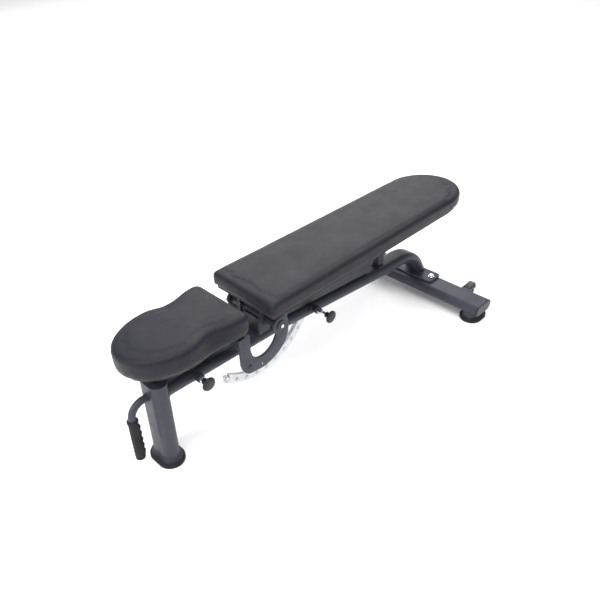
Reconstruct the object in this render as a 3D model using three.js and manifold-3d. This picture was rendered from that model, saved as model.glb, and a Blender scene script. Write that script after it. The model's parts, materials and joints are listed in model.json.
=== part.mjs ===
// Adjustable weight bench: a flat-to-incline back, a tilting seat, a flat-oval steel frame.
// Millimetres, +Z up, +X from the seat towards the head end, +Y to the left of a person lying on it.
// Every X below is counted from the middle of the front leg; the finished group is then moved so
// that its origin is the middle of its footprint on the floor.

import * as THREE from 'three';
import { mergeVertices } from 'three/addons/utils/BufferGeometryUtils.js';
import Module from 'manifold-3d';

const wasm = await Module();
wasm.setup();

// ---------------------------------------------------------------- driving dimensions

const GAP = 0.3; // between two pieces that touch
const RUN = 0.4; // radial clearance of a turning or sliding fit
const WALL = 3; // wall of every steel tube

// front leg, its foot and the carry handle
const LEG_LONG = 92; // flat oval, across the bench
const LEG_SHORT = 55; // flat oval, along the bench
const LEG_TOP = 304;
const LEG_CAP = 5;
const FOOT_HEIGHT = 20;
const FOOT_RIM = 6; // rubber around the base plate
const BASE_PLATE = 6;
const BASE_MARGIN = 8.5; // base plate beyond the tube that stands on it
const SOLE = 13; // rubber under the base plate
const HANDLE_REACH = 86; // from the leg's middle to the grip's middle
const HANDLE_DIAMETER = 22;
const HANDLE_HEIGHT = 262;
const HANDLE_BEND = 44;
const GRIP_DIAMETER = 31;
const GRIP_TOP = 206;
const GRIP_LENGTH = 142;

// main tube: side view of its centre line, flat oval lying on its side
const MAIN_WIDTH = 78;
const MAIN_HEIGHT = 42;
const MAIN_FRONT_Z = 267.5;
const MAIN_BREAK = { x: 460, z: 253 }; // slight downward break behind the pivot
const MAIN_LOW = { x: 1040, z: 199.5 }; // where it levels out before the arch
const ARCH_CORNER = { x: 1208, z: 197 }; // where the arch's straight runs would meet
const ARCH_RADIUS = 150;
const ARCH_ANGLE = 60; // degrees of the arch's last run below the horizontal

// rear beam, its feet and wheels
const BEAM_X = 1250;
const BEAM_HALF = 331; // half length without the end caps
const BEAM_WIDTH = 104;
const BEAM_HEIGHT = 44;
const BEAM_BOTTOM = 33;
const BEAM_CAP = 6;
const FLANGE_X = 1262; // middle of the flange under the arch
const FLANGE_LENGTH = 76;
const FLANGE_HALF_WIDTH = 105;
const FLANGE_THICK = 8;
const FLANGE_BOLT_Y = FLANGE_HALF_WIDTH - 21;
const REAR_FOOT_Y = BEAM_HALF - 36;
const REAR_FOOT_LONG = 112;
const REAR_FOOT_SHORT = 86;
const WHEEL_Y = BEAM_HALF - 108;
const WHEEL_RADIUS = 27;
const WHEEL_WIDTH = 24;
const WHEEL_X = 1338;
const WHEEL_Z = 56;
const AXLE_DIAMETER = 10;

// pivot that the back and the seat share
const PIVOT = { x: 392, z: 335 };
const SHAFT_DIAMETER = 24;
const SLEEVE_DIAMETER = SHAFT_DIAMETER + 16;
const SLEEVE_HALF = 46;
const SPACER_DIAMETER = SHAFT_DIAMETER + 10;
const POST_LENGTH = 52;
const POST_HALF_WIDTH = 34;
const PIVOT_BOLT_HEAD = 5;

// back: pad, board, rail, hinge ears and the arc with its lock holes
const PAD_TOP = 447; // at the edges; the middle is a little higher
// Rings of a pad as [inset from the outline, height from its lower or upper face].
const BACK_LOWER_RINGS = [[5, 0], [1.5, 1.5], [0, 5]];
const SEAT_LOWER_RINGS = [[15, 0], [7, 3], [2, 10], [0, 18]];
const UPPER_RINGS = [[0, -13], [1.6, -7], [5, -3], [10, -0.8], [16, 0], [34, 2], [58, 3]];
const BACK_FRONT = 335;
const BACK_TIP = 1416;
const BACK_HALF = 140;
const BACK_ROUND = 158; // length of the rounded head end
const BACK_THICK = 47;
const BOARD_THICK = 12;
const BOARD_INSET = 12; // board edge inside the pad's edge
const EAR_THICK = 8;
const EAR_RADIUS = 27;
const HINGE_TUBE = { x0: 438, x1: 474, above: 6, high: 46 }; // cross tube between the two ears
const RAIL_WIDTH = 50;
const RAIL_HEIGHT = 50;
const RAIL_END = 932; // free end of the rail
const RAIL_CLEAR_FRONT = 3.3; // rail above the main tube where it leaves the hinge tube
const RAIL_CLEAR_END = 10; // rail above the main tube at its free end
const PAD_BRACKET = 36; // square posts between the rail and the board
const PAD_BRACKET_X = [640, 892];
const ARC_RADIUS = 233;
const ARC_BAND = 30;
const ARC_PLATE = 4.5;
const ARC_SPACE = 6; // between the two arc plates
const ARC_STEP = 10.7; // degrees between lock holes
const ARC_HOLES = 11;
const ARC_FREE_END = 1.8; // degrees of plate past the last hole
const LOCK_ANGLE = -21; // degrees, where the back pin meets the arc

// seat: pad, board, frame, the two hooked side brackets and the lock plate
const SEAT_TIP = -92;
const SEAT_REAR = 270;
const SEAT_HALF = 120; // widest half width
const SEAT_WAIST = 105; // half width at the waist
const SEAT_ROUND = 160; // length of the rounded front
const SEAT_THICK = 67;
const BRACKET_INNER = 101;
const BRACKET_THICK = 8;
const SEAT_CROSS = 38;
const SEAT_RAIL_WIDTH = 50;
const SEAT_RAIL_HEIGHT = 26;
const SEAT_RAIL_FRONT = -44;
const SEAT_PIN = { x: 118, z: 270 };
const LOCK_PLATE = 8;
const LOCK_BAND = 26;
const SEAT_STEP = 5; // degrees between the seat's lock holes
const SEAT_HOLES = 3;

// pull pins
const PIN_DIAMETER = 11;
const LOCK_HOLE = PIN_DIAMETER + 1.5;
const BOSS_DIAMETER = 27;
const KNOB_RADIUS = 22;

// back stop on the main tube, and the bumper under the seat
const STOP_X = 1007;
const STOP_POST = 32;
const STOP_BASE = 50;
const STOP_FLANGE = 5;
const BUMPER = 12;

// ---------------------------------------------------------------- finishes

const finish = (color, roughness, metalness) => ({ color, roughness, metalness });
const FRAME_PAINT = finish(0x34353d, 0.5, 0.35);
const LEATHER = finish(0x26272b, 0.55, 0.0);
const RUBBER = finish(0x141416, 0.85, 0.0);
const PLASTIC = finish(0x18181a, 0.5, 0.0);
const ZINC = finish(0xd6d8dc, 0.3, 0.9);
const SILVER = finish(0xdadce2, 0.45, 0.6);
const WOOD = finish(0x8a6a48, 0.8, 0.0);
const WHEEL_GREY = finish(0x6d6f72, 0.6, 0.0);

// ---------------------------------------------------------------- shapes and solids

const AXIS = {
  x: new THREE.Matrix4().makeBasis(
    new THREE.Vector3(0, 1, 0), new THREE.Vector3(0, 0, 1), new THREE.Vector3(1, 0, 0)),
  y: new THREE.Matrix4().makeBasis(
    new THREE.Vector3(1, 0, 0), new THREE.Vector3(0, 0, 1), new THREE.Vector3(0, -1, 0)),
  z: new THREE.Matrix4(),
};

function bare(geometry) {
  geometry.deleteAttribute('normal');
  geometry.deleteAttribute('uv');
  return mergeVertices(geometry, 1e-3);
}

function solid(geometry) {
  const merged = bare(geometry);
  return new wasm.Manifold(new wasm.Mesh({
    numProp: 3,
    vertProperties: new Float32Array(merged.attributes.position.array),
    triVerts: new Uint32Array(merged.index.array),
  }));
}

function geometryOf(body) {
  const mesh = body.getMesh();
  const geometry = new THREE.BufferGeometry();
  geometry.setAttribute('position', new THREE.BufferAttribute(mesh.vertProperties, 3));
  geometry.setIndex(new THREE.BufferAttribute(mesh.triVerts, 1));
  return geometry;
}

// A flat section pushed along an axis, centred on `at` in that axis. The section's own axes are
// (y, z) for x, (x, z) for y and (x, y) for z.
function push(shape, axis, length, at = 0, curveSegments = 5) {
  const geometry = new THREE.ExtrudeGeometry(shape, { depth: length, bevelEnabled: false, curveSegments });
  geometry.translate(0, 0, -length / 2);
  geometry.applyMatrix4(AXIS[axis]);
  const move = { x: 0, y: 0, z: 0 };
  move[axis] = at;
  geometry.translate(move.x, move.y, move.z);
  return solid(geometry);
}

function box(x0, x1, y0, y1, z0, z1) {
  const geometry = new THREE.BoxGeometry(x1 - x0, y1 - y0, z1 - z0);
  geometry.translate((x0 + x1) / 2, (y0 + y1) / 2, (z0 + z1) / 2);
  return solid(geometry);
}

// A round bar along Y between two Y values.
function barY(x, z, radius, y0, y1, segments = 20) {
  const geometry = new THREE.CylinderGeometry(radius, radius, y1 - y0, segments);
  geometry.translate(x, (y0 + y1) / 2, z);
  return solid(geometry);
}

function barZ(x, y, radius, z0, z1, segments = 20) {
  const geometry = new THREE.CylinderGeometry(radius, radius, z1 - z0, segments);
  geometry.rotateX(Math.PI / 2);
  geometry.translate(x, y, (z0 + z1) / 2);
  return solid(geometry);
}

// A turned piece about Y: profile points are [radius, y].
function turnedY(x, z, profile, segments = 24) {
  const points = profile.map(([r, y]) => new THREE.Vector2(r, y));
  const geometry = new THREE.LatheGeometry(points, segments);
  geometry.translate(x, 0, z);
  return solid(geometry);
}

// A turned piece about Z: profile points are [radius, z].
function turnedZ(x, y, profile, segments = 20) {
  const points = profile.map(([r, z]) => new THREE.Vector2(r, z));
  const geometry = new THREE.LatheGeometry(points, segments);
  geometry.rotateX(Math.PI / 2);
  geometry.translate(x, y, 0);
  return solid(geometry);
}

// Flat oval, long side along the section's first axis unless `upright`.
function flatOval(long, short, upright = false, u = 0, v = 0) {
  const r = short / 2;
  const half = long / 2 - r;
  const shape = new THREE.Shape();
  if (upright) {
    shape.absarc(u, v + half, r, 0, Math.PI, false);
    shape.absarc(u, v - half, r, Math.PI, 2 * Math.PI, false);
  } else {
    shape.absarc(u + half, v, r, -Math.PI / 2, Math.PI / 2, false);
    shape.absarc(u - half, v, r, Math.PI / 2, 1.5 * Math.PI, false);
  }
  shape.closePath();
  return shape;
}

function roundedRectangle(u0, u1, v0, v1, r) {
  const shape = new THREE.Shape();
  shape.absarc(u1 - r, v0 + r, r, -Math.PI / 2, 0, false);
  shape.absarc(u1 - r, v1 - r, r, 0, Math.PI / 2, false);
  shape.absarc(u0 + r, v1 - r, r, Math.PI / 2, Math.PI, false);
  shape.absarc(u0 + r, v0 + r, r, Math.PI, 1.5 * Math.PI, false);
  shape.closePath();
  return shape;
}

function hollow(outer, inner, segments = 4) {
  outer.holes.push(new THREE.Path(inner.getPoints(segments)));
  return outer;
}

function circle(radius) {
  const shape = new THREE.Shape();
  shape.absarc(0, 0, radius, 0, 2 * Math.PI, false);
  return shape;
}

function tubeSection(long, short, upright = false, u = 0, v = 0) {
  return hollow(
    flatOval(long, short, upright, u, v),
    flatOval(long - 2 * WALL, short - 2 * WALL, upright, u, v));
}

function boxSection(u0, u1, v0, v1) {
  return hollow(
    roundedRectangle(u0, u1, v0, v1, 5),
    roundedRectangle(u0 + WALL, u1 - WALL, v0 + WALL, v1 - WALL, 2), 1);
}

const boxTube = (section, axis, length, at) => push(section, axis, length, at, 1);

// A line in the XZ plane through `corners`, each inner one rounded by its radius. Straight runs
// are one step long, and a bend has a step every few degrees.
class BentLine extends THREE.Curve {
  constructor(corners, stepDegrees = 7.5) {
    super();
    this.stations = [new THREE.Vector3(corners[0].x, 0, corners[0].z)];
    for (let i = 1; i < corners.length - 1; i++) {
      this.addBend(corners[i - 1], corners[i], corners[i + 1], stepDegrees);
    }
    const last = corners[corners.length - 1];
    this.stations.push(new THREE.Vector3(last.x, 0, last.z));
    this.steps = this.stations.length - 1;
  }

  addBend(before, corner, after, stepDegrees) {
    const here = new THREE.Vector2(corner.x, corner.z);
    const back = new THREE.Vector2(before.x, before.z).sub(here).normalize();
    const ahead = new THREE.Vector2(after.x, after.z).sub(here).normalize();
    const turn = Math.PI - Math.acos(back.dot(ahead));
    const setback = corner.radius * Math.tan(turn / 2);
    const middle = back.clone().add(ahead).normalize();
    const centre = middle.multiplyScalar(corner.radius / Math.cos(turn / 2)).add(here);
    const start = back.multiplyScalar(setback).add(here).sub(centre);
    const sign = Math.sign(start.cross(ahead));
    const count = Math.max(2, Math.ceil(THREE.MathUtils.radToDeg(turn) / stepDegrees));
    for (let i = 0; i <= count; i++) {
      const p = start.clone().rotateAround(new THREE.Vector2(), sign * turn * i / count).add(centre);
      this.stations.push(new THREE.Vector3(p.x, 0, p.y));
    }
  }

  getUtoTmapping(u) {
    return u;
  }

  getPoint(t, target = new THREE.Vector3()) {
    const place = Math.min(Math.max(t, 0), 1) * this.steps;
    const i = Math.min(Math.floor(place), this.steps - 1);
    return target.lerpVectors(this.stations[i], this.stations[i + 1], place - i);
  }
}

function along(line, section, curveSegments = 5) {
  return solid(new THREE.ExtrudeGeometry(section, {
    steps: line.steps, extrudePath: line, curveSegments,
  }));
}

const radians = THREE.MathUtils.degToRad;
const around = (centre, radius, degrees) => ({
  x: centre.x + radius * Math.cos(radians(degrees)),
  z: centre.z + radius * Math.sin(radians(degrees)),
});

// ---------------------------------------------------------------- assembly

const bench = new THREE.Group();

function piece(name, body, look) {
  const material = new THREE.MeshStandardMaterial(look);
  const mesh = new THREE.Mesh(geometryOf(body), material);
  mesh.name = name;
  bench.add(mesh);
}

// A piece made once for each side: `make` gets +1 for the left and -1 for the right.
function pair(name, make, look) {
  piece(`${name}_left`, make(1), look);
  piece(`${name}_right`, make(-1), look);
}

const span = (side, inner, outer) => (side > 0 ? [inner, outer] : [-outer, -inner]);

// ---------------------------------------------------------------- front leg and handle

const soleTop = SOLE + GAP;
const legOval = (grow = 0) => flatOval(LEG_LONG + 2 * grow, LEG_SHORT + 2 * grow, true);
const legOuter = (grow) => push(legOval(grow), 'z', 2 * LEG_TOP, LEG_TOP);

function frontLeg() {
  const height = LEG_TOP - soleTop;
  const tube = push(tubeSection(LEG_LONG, LEG_SHORT, true), 'z', height, soleTop + height / 2);
  const plate = basePlate(FRONT_FOOT_LONG, FRONT_FOOT_SHORT, true, 0, 0);
  piece('front_leg', tube.add(plate), FRAME_PAINT);
  const cap = LEG_TOP + GAP + LEG_CAP / 2;
  piece('leg_cap', push(legOval(1.5), 'z', LEG_CAP, cap), FRAME_PAINT);
}

// Rubber shoe with a pocket that holds a steel base plate.
function shoe(long, short, upright, u, v) {
  const rim = push(flatOval(long, short, upright, u, v), 'z', SOLE, SOLE / 2);
  const lip = push(flatOval(long - 8, short - 8, upright, u, v), 'z', FOOT_HEIGHT, FOOT_HEIGHT / 2);
  const inset = 2 * FOOT_RIM - 2 * GAP;
  const well = flatOval(long - inset, short - inset, upright, u, v);
  const pocket = push(well, 'z', FOOT_HEIGHT, SOLE + FOOT_HEIGHT / 2);
  return rim.add(lip).subtract(pocket);
}

function basePlate(long, short, upright, u, v) {
  const inset = 2 * FOOT_RIM;
  const outline = flatOval(long - inset, short - inset, upright, u, v);
  return push(outline, 'z', BASE_PLATE, soleTop + BASE_PLATE / 2);
}

const FRONT_FOOT_LONG = LEG_LONG + 2 * BASE_MARGIN + 2 * FOOT_RIM;
const FRONT_FOOT_SHORT = LEG_SHORT + 2 * BASE_MARGIN + 2 * FOOT_RIM;

function frontFoot() {
  piece('front_foot', shoe(FRONT_FOOT_LONG, FRONT_FOOT_SHORT, true, 0, 0), RUBBER);
}

function carryHandle() {
  const gripBottom = GRIP_TOP - GRIP_LENGTH;
  const line = new BentLine([
    { x: -1, z: HANDLE_HEIGHT + 0.1 },
    { x: -HANDLE_REACH, z: HANDLE_HEIGHT, radius: HANDLE_BEND },
    { x: -HANDLE_REACH, z: gripBottom + 6 },
  ], 15);
  const section = hollow(circle(HANDLE_DIAMETER / 2), circle(HANDLE_DIAMETER / 2 - WALL), 8);
  piece('carry_handle', along(line, section, 8).subtract(legOuter(GAP)), FRAME_PAINT);

  const r = GRIP_DIAMETER / 2;
  const bore = HANDLE_DIAMETER / 2 + GAP;
  let grip = turnedZ(-HANDLE_REACH, 0, [
    [0, gripBottom], [r - 3, gripBottom], [r, gripBottom + 3],
    [r, GRIP_TOP - 2], [r - 2, GRIP_TOP], [0, GRIP_TOP],
  ], 24);
  const ridges = 5;
  const pitch = (GRIP_LENGTH - 24) / ridges;
  for (let i = 0; i < ridges; i++) {
    const z = gripBottom + 12 + pitch * (i + 0.5);
    const ridge = turnedZ(-HANDLE_REACH + 5, 0, [
      [0, z - pitch * 0.4], [r - 5, z - pitch * 0.4], [r - 1, z],
      [r - 5, z + pitch * 0.4], [0, z + pitch * 0.4],
    ], 16);
    grip = grip.add(ridge);
  }
  const clear = barZ(-HANDLE_REACH, 0, bore, gripBottom + 6 - GAP, GRIP_TOP + 1, 16);
  piece('handle_grip', grip.subtract(clear), RUBBER);
}

// ---------------------------------------------------------------- main tube

const beamTop = BEAM_BOTTOM + BEAM_HEIGHT;
const beamMiddle = BEAM_BOTTOM + BEAM_HEIGHT / 2;
const flangeTop = beamTop + GAP + FLANGE_THICK;
const archRun = THREE.MathUtils.degToRad(ARCH_ANGLE);
const archX = (z) => ARCH_CORNER.x + (ARCH_CORNER.z - z) / Math.tan(archRun);
const archEnd = { x: archX(flangeTop - 30), z: flangeTop - 30 };

const mainLine = () => new BentLine([
  { x: 0, z: MAIN_FRONT_Z },
  { ...MAIN_BREAK, radius: 600 },
  { ...MAIN_LOW, radius: 500 },
  { ...ARCH_CORNER, radius: ARCH_RADIUS },
  archEnd,
], 12);

// Height of the tube's centre line ahead of the arch.
function mainZ(x) {
  const [from, to] = x < MAIN_BREAK.x
    ? [{ x: 0, z: MAIN_FRONT_Z }, MAIN_BREAK] : [MAIN_BREAK, MAIN_LOW];
  return from.z + (to.z - from.z) * (x - from.x) / (to.x - from.x);
}

const mainOval = (grow) => flatOval(MAIN_WIDTH + 2 * grow, MAIN_HEIGHT + 2 * grow);
const mainOuter = (grow) => along(mainLine(), mainOval(grow));
const mainTop = (x) => mainZ(x) + MAIN_HEIGHT / 2;

const arcHalf = ARC_SPACE / 2 + ARC_PLATE;
const backPin = around(PIVOT, ARC_RADIUS, LOCK_ANGLE);
const seatPinRadius = Math.hypot(PIVOT.x - SEAT_PIN.x, PIVOT.z - SEAT_PIN.z);
const seatPinAngle = 180 + THREE.MathUtils.radToDeg(
  Math.atan2(PIVOT.z - SEAT_PIN.z, PIVOT.x - SEAT_PIN.x));

// Space that a ring of plate about the pivot needs where it crosses the main tube.
function ringSlot(radius, band, halfWidth, near) {
  const play = 4;
  const z = mainZ(near);
  const reach = MAIN_HEIGHT / 2 + 2;
  const side = Math.sign(near - PIVOT.x);
  const drops = [PIVOT.z - z - reach, PIVOT.z - z + reach];
  const offsets = drops.flatMap((drop) => [
    Math.sqrt((radius - band / 2 - play) ** 2 - drop ** 2),
    Math.sqrt((radius + band / 2 + play) ** 2 - drop ** 2),
  ]);
  const xs = offsets.map((offset) => PIVOT.x + side * offset);
  const half = halfWidth + 3;
  return box(Math.min(...xs), Math.max(...xs), -half, half, z - reach - 8, z + reach + 8);
}

function mainTube() {
  const bore = 2 * (PIN_DIAMETER / 2 + RUN);
  let tube = along(mainLine(), tubeSection(MAIN_WIDTH, MAIN_HEIGHT))
    .subtract(legOuter(GAP))
    .subtract(box(archEnd.x - 90, archEnd.x + 60, -60, 60, -10, flangeTop + GAP))
    .subtract(ringSlot(ARC_RADIUS, ARC_BAND, arcHalf, backPin.x))
    .subtract(ringSlot(seatPinRadius, LOCK_BAND, LOCK_PLATE / 2, SEAT_PIN.x));
  for (const pin of [SEAT_PIN, backPin]) {
    tube = tube.subtract(barY(pin.x, pin.z, bore / 2, -MAIN_WIDTH, 0));
  }
  piece('main_tube', tube, FRAME_PAINT);
}

function archGusset() {
  const low = flangeTop + GAP;
  const heel = archX(low) - MAIN_HEIGHT / 2;
  const tip = { x: ARCH_CORNER.x - 62, z: ARCH_CORNER.z - 12 };
  const shape = new THREE.Shape();
  shape.moveTo(heel - 28, low);
  shape.lineTo(heel, low);
  shape.lineTo(archX(low + 50), low + 50);
  shape.lineTo(tip.x, tip.z);
  shape.lineTo(tip.x, tip.z - 16);
  shape.quadraticCurveTo(heel - 44, tip.z - 30, heel - 28, low);
  shape.closePath();
  piece('arch_gusset', push(shape, 'y', 6, 0, 3).subtract(mainOuter(GAP)), FRAME_PAINT);
}

// ---------------------------------------------------------------- rear beam

const beamOval = (grow) => flatOval(
  BEAM_WIDTH + 2 * grow, BEAM_HEIGHT + 2 * grow, false, BEAM_X, beamMiddle);
const beamOuter = (grow) => push(beamOval(grow), 'y', 2 * BEAM_HALF + 40);

function rearBeam() {
  const section = tubeSection(BEAM_WIDTH, BEAM_HEIGHT, false, BEAM_X, beamMiddle);
  piece('rear_beam', push(section, 'y', 2 * BEAM_HALF), FRAME_PAINT);
  const capY = BEAM_HALF + GAP + BEAM_CAP / 2;
  pair('beam_cap', (side) => push(beamOval(0.5), 'y', BEAM_CAP, side * capY), PLASTIC);

  const half = FLANGE_LENGTH / 2;
  const plan = roundedRectangle(
    FLANGE_X - half, FLANGE_X + half, -FLANGE_HALF_WIDTH, FLANGE_HALF_WIDTH, 14);
  let flange = push(plan, 'z', FLANGE_THICK, beamTop + GAP + FLANGE_THICK / 2, 4);
  for (const side of [-1, 1]) {
    flange = flange.subtract(barZ(FLANGE_X, side * FLANGE_BOLT_Y, 6 + GAP, beamTop - 5, flangeTop + 5));
  }
  piece('rear_flange', flange, FRAME_PAINT);
  pair('flange_bolt', flangeBolt, ZINC);
}

// Hexagon head bolt on a washer; its shank stops short of the beam's wall.
function flangeBolt(side) {
  const y = side * FLANGE_BOLT_Y;
  const seat = flangeTop + GAP;
  const shank = barZ(FLANGE_X, y, 6, beamTop + GAP, seat + 1);
  const washer = barZ(FLANGE_X, y, 12, seat, seat + 2.2);
  const head = barZ(FLANGE_X, y, 9.5, seat + 1, seat + 9, 6);
  return shank.add(washer).add(head);
}

function rearFeet() {
  const foot = (side) => [REAR_FOOT_LONG, REAR_FOOT_SHORT, false, BEAM_X, side * REAR_FOOT_Y];
  pair('rear_riser', (side) => {
    const [long, short, upright, u, v] = foot(side);
    const inset = 2 * FOOT_RIM + 8;
    const outline = flatOval(long - inset, short - inset, upright, u, v);
    return push(outline, 'z', beamMiddle - soleTop, (beamMiddle + soleTop) / 2)
      .add(basePlate(...foot(side)))
      .subtract(beamOuter(GAP));
  }, FRAME_PAINT);
  pair('rear_foot', (side) => shoe(...foot(side)), RUBBER);
}

function wheels() {
  const inner = WHEEL_WIDTH / 2 + 1.5;
  const ear = 4;
  const outer = inner + ear;
  const behind = BEAM_X + BEAM_WIDTH / 2;
  pair('wheel_bracket', (side) => {
    const y = side * WHEEL_Y;
    const plan = new THREE.Shape();
    plan.moveTo(behind - 22, y - outer);
    plan.lineTo(WHEEL_X + 16, y - outer);
    plan.lineTo(WHEEL_X + 16, y - inner);
    plan.lineTo(behind + 5, y - inner);
    plan.lineTo(behind + 5, y + inner);
    plan.lineTo(WHEEL_X + 16, y + inner);
    plan.lineTo(WHEEL_X + 16, y + outer);
    plan.lineTo(behind - 22, y + outer);
    plan.closePath();
    const profile = new THREE.Shape();
    profile.moveTo(behind - 22, WHEEL_Z - 13);
    profile.absarc(WHEEL_X, WHEEL_Z, 13, -Math.PI / 2, Math.PI / 2, false);
    profile.lineTo(behind - 22, WHEEL_Z + 15);
    profile.closePath();
    const bore = barY(WHEEL_X, WHEEL_Z, AXLE_DIAMETER / 2 + GAP, y - 40, y + 40, 20);
    return push(plan, 'z', 60, WHEEL_Z)
      .intersect(push(profile, 'y', 80, y))
      .subtract(beamOuter(GAP))
      .subtract(bore);
  }, FRAME_PAINT);
  pair('wheel', (side) => {
    const y = side * WHEEL_Y;
    const h = WHEEL_WIDTH / 2;
    const r = WHEEL_RADIUS;
    const bore = AXLE_DIAMETER / 2 + RUN;
    return turnedY(WHEEL_X, WHEEL_Z, [
      [bore, y - h], [11, y - h], [13, y - h + 3], [r - 7, y - h + 3], [r - 5, y - h],
      [r, y - h + 4], [r, y + h - 4], [r - 5, y + h], [r - 7, y + h - 3], [13, y + h - 3],
      [11, y + h], [bore, y + h], [bore, y - h],
    ], 24);
  }, WHEEL_GREY);
  pair('wheel_axle', (side) => {
    const y = side * WHEEL_Y;
    const shank = barY(WHEEL_X, WHEEL_Z, AXLE_DIAMETER / 2, y - outer - 3, y + outer + 3, 20);
    const head = (from) => barY(WHEEL_X, WHEEL_Z, 8, from, from + 4, 6);
    return shank.add(head(y + outer + GAP)).add(head(y - outer - GAP - 4));
  }, ZINC);
}

// ---------------------------------------------------------------- pivot

const pivotBar = (radius, y0, y1, segments = 24) => barY(PIVOT.x, PIVOT.z, radius, y0, y1, segments);
const bracketOuter = BRACKET_INNER + BRACKET_THICK;
const earInner = SLEEVE_HALF + RUN;
const earOuter = earInner + EAR_THICK;

// Post on the main tube with the pivot's sleeve welded through it.
function pivot() {
  const x0 = PIVOT.x - POST_LENGTH / 2;
  const x1 = PIVOT.x + POST_LENGTH / 2;
  const post = boxTube(boxSection(x0, x1, -POST_HALF_WIDTH, POST_HALF_WIDTH), 'z', 90, PIVOT.z - 45)
    .subtract(mainOuter(GAP))
    .subtract(box(x0 - 9, x1 + 9, -60, 60, 100, mainZ(PIVOT.x)));
  piece('pivot_post', post
    .add(pivotBar(SLEEVE_DIAMETER / 2, -SLEEVE_HALF, SLEEVE_HALF))
    .subtract(pivotBar(SHAFT_DIAMETER / 2 + GAP, -200, 200)), FRAME_PAINT);
  pair('pivot_spacer', (side) => {
    const ends = span(side, earOuter + RUN, BRACKET_INNER - RUN);
    return pivotBar(SPACER_DIAMETER / 2, ...ends)
      .subtract(pivotBar(SHAFT_DIAMETER / 2 + GAP, -200, 200));
  }, FRAME_PAINT);
  const shaftEnd = bracketOuter + 1;
  piece('pivot_shaft', pivotBar(SHAFT_DIAMETER / 2, -shaftEnd, shaftEnd), ZINC);
  pair('pivot_bolt', (side) => {
    const seat = shaftEnd + GAP;
    const [w0, w1] = span(side, seat, seat + 2.5);
    const [h0, h1] = span(side, seat + 2, seat + 2.5 + PIVOT_BOLT_HEAD);
    return pivotBar(SPACER_DIAMETER / 2, w0, w1).add(pivotBar(10, h0, h1, 6));
  }, ZINC);
}

// ---------------------------------------------------------------- back

// A pad is a stack of its plan outline, inset ring by ring towards its lower and upper faces.
function pad(outline, lower, bottom, top) {
  const ring = (inset, z) => {
    const points = outline(inset).extractPoints(6).shape;
    const distinct = points.filter((p, i) => p.distanceTo(points.at(i - 1)) > 1e-3);
    return distinct.map((p) => [p.x, p.y, z]);
  };
  const rings = [
    ...lower.map(([inset, z]) => ring(inset, bottom + z)),
    ...UPPER_RINGS.map(([inset, z]) => ring(inset, top + z)),
  ];
  const count = rings[0].length;
  const flat = (points) => points.map(([x, y]) => new THREE.Vector2(x, y));
  const last = (rings.length - 1) * count;
  const faces = [];
  for (let k = 0; k + 1 < rings.length; k++) {
    for (let i = 0; i < count; i++) {
      const a = k * count + i;
      const b = k * count + (i + 1) % count;
      faces.push(a, b, b + count, a, b + count, a + count);
    }
  }
  for (const [a, b, c] of THREE.ShapeUtils.triangulateShape(flat(rings[0]), [])) {
    faces.push(a, c, b);
  }
  for (const [a, b, c] of THREE.ShapeUtils.triangulateShape(flat(rings[rings.length - 1]), [])) {
    faces.push(last + a, last + b, last + c);
  }
  const geometry = new THREE.BufferGeometry();
  geometry.setAttribute('position', new THREE.Float32BufferAttribute(rings.flat(2), 3));
  geometry.setIndex(faces);
  return solid(geometry);
}

function backOutline(inset) {
  const half = BACK_HALF - inset;
  const shape = new THREE.Shape();
  const middle = BACK_TIP - BACK_ROUND;
  const corner = Math.max(3, 17 - inset);
  shape.absellipse(middle, 0, BACK_ROUND - inset, half, -Math.PI / 2, Math.PI / 2, false, 0);
  shape.absarc(BACK_FRONT + inset + corner, half - corner, corner, Math.PI / 2, Math.PI, false);
  shape.absarc(BACK_FRONT + inset + corner, -half + corner, corner, Math.PI, 1.5 * Math.PI, false);
  shape.closePath();
  return shape;
}

const backPadBottom = PAD_TOP - BACK_THICK;
const backBoardTop = backPadBottom - GAP;
const backBoardBottom = backBoardTop - BOARD_THICK;
const frameTop = backBoardBottom - GAP;

// Height of the rail's underside; the rail runs nearly parallel to the main tube.
const railFrontZ = mainTop(HINGE_TUBE.x1) + RAIL_CLEAR_FRONT;
const railEndZ = mainTop(RAIL_END) + RAIL_CLEAR_END;
const railSlope = (railEndZ - railFrontZ) / (RAIL_END - HINGE_TUBE.x1);
const railLowZ = (x) => railFrontZ + railSlope * (x - HINGE_TUBE.x1);
const hingeLow = railFrontZ + HINGE_TUBE.above;
const hingeHigh = hingeLow + HINGE_TUBE.high;

function sloped(x0, x1, bottom, top) {
  const shape = new THREE.Shape();
  shape.moveTo(x0, railLowZ(x0) + bottom);
  shape.lineTo(x1, railLowZ(x1) + bottom);
  shape.lineTo(x1, railLowZ(x1) + top);
  shape.lineTo(x0, railLowZ(x0) + top);
  shape.closePath();
  return shape;
}

function backRail() {
  const start = HINGE_TUBE.x1 + GAP;
  const outside = push(sloped(start, RAIL_END, 0, RAIL_HEIGHT), 'y', RAIL_WIDTH);
  const inside = push(
    sloped(start - 1, RAIL_END - WALL, WALL, RAIL_HEIGHT - WALL), 'y', RAIL_WIDTH - 2 * WALL);
  return outside.subtract(inside);
}

function padBracket(x) {
  const half = PAD_BRACKET / 2;
  const low = railLowZ(x);
  const section = boxSection(x - half, x + half, -half, half);
  const tube = boxTube(section, 'z', frameTop - low, (frameTop + low) / 2);
  const flange = box(x - half - 12, x + half + 12, -half - 14, half + 14, frameTop - 5, frameTop);
  const below = push(sloped(x - 90, x + 90, -200, RAIL_HEIGHT + GAP), 'y', 200);
  return tube.add(flange).subtract(below);
}

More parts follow.
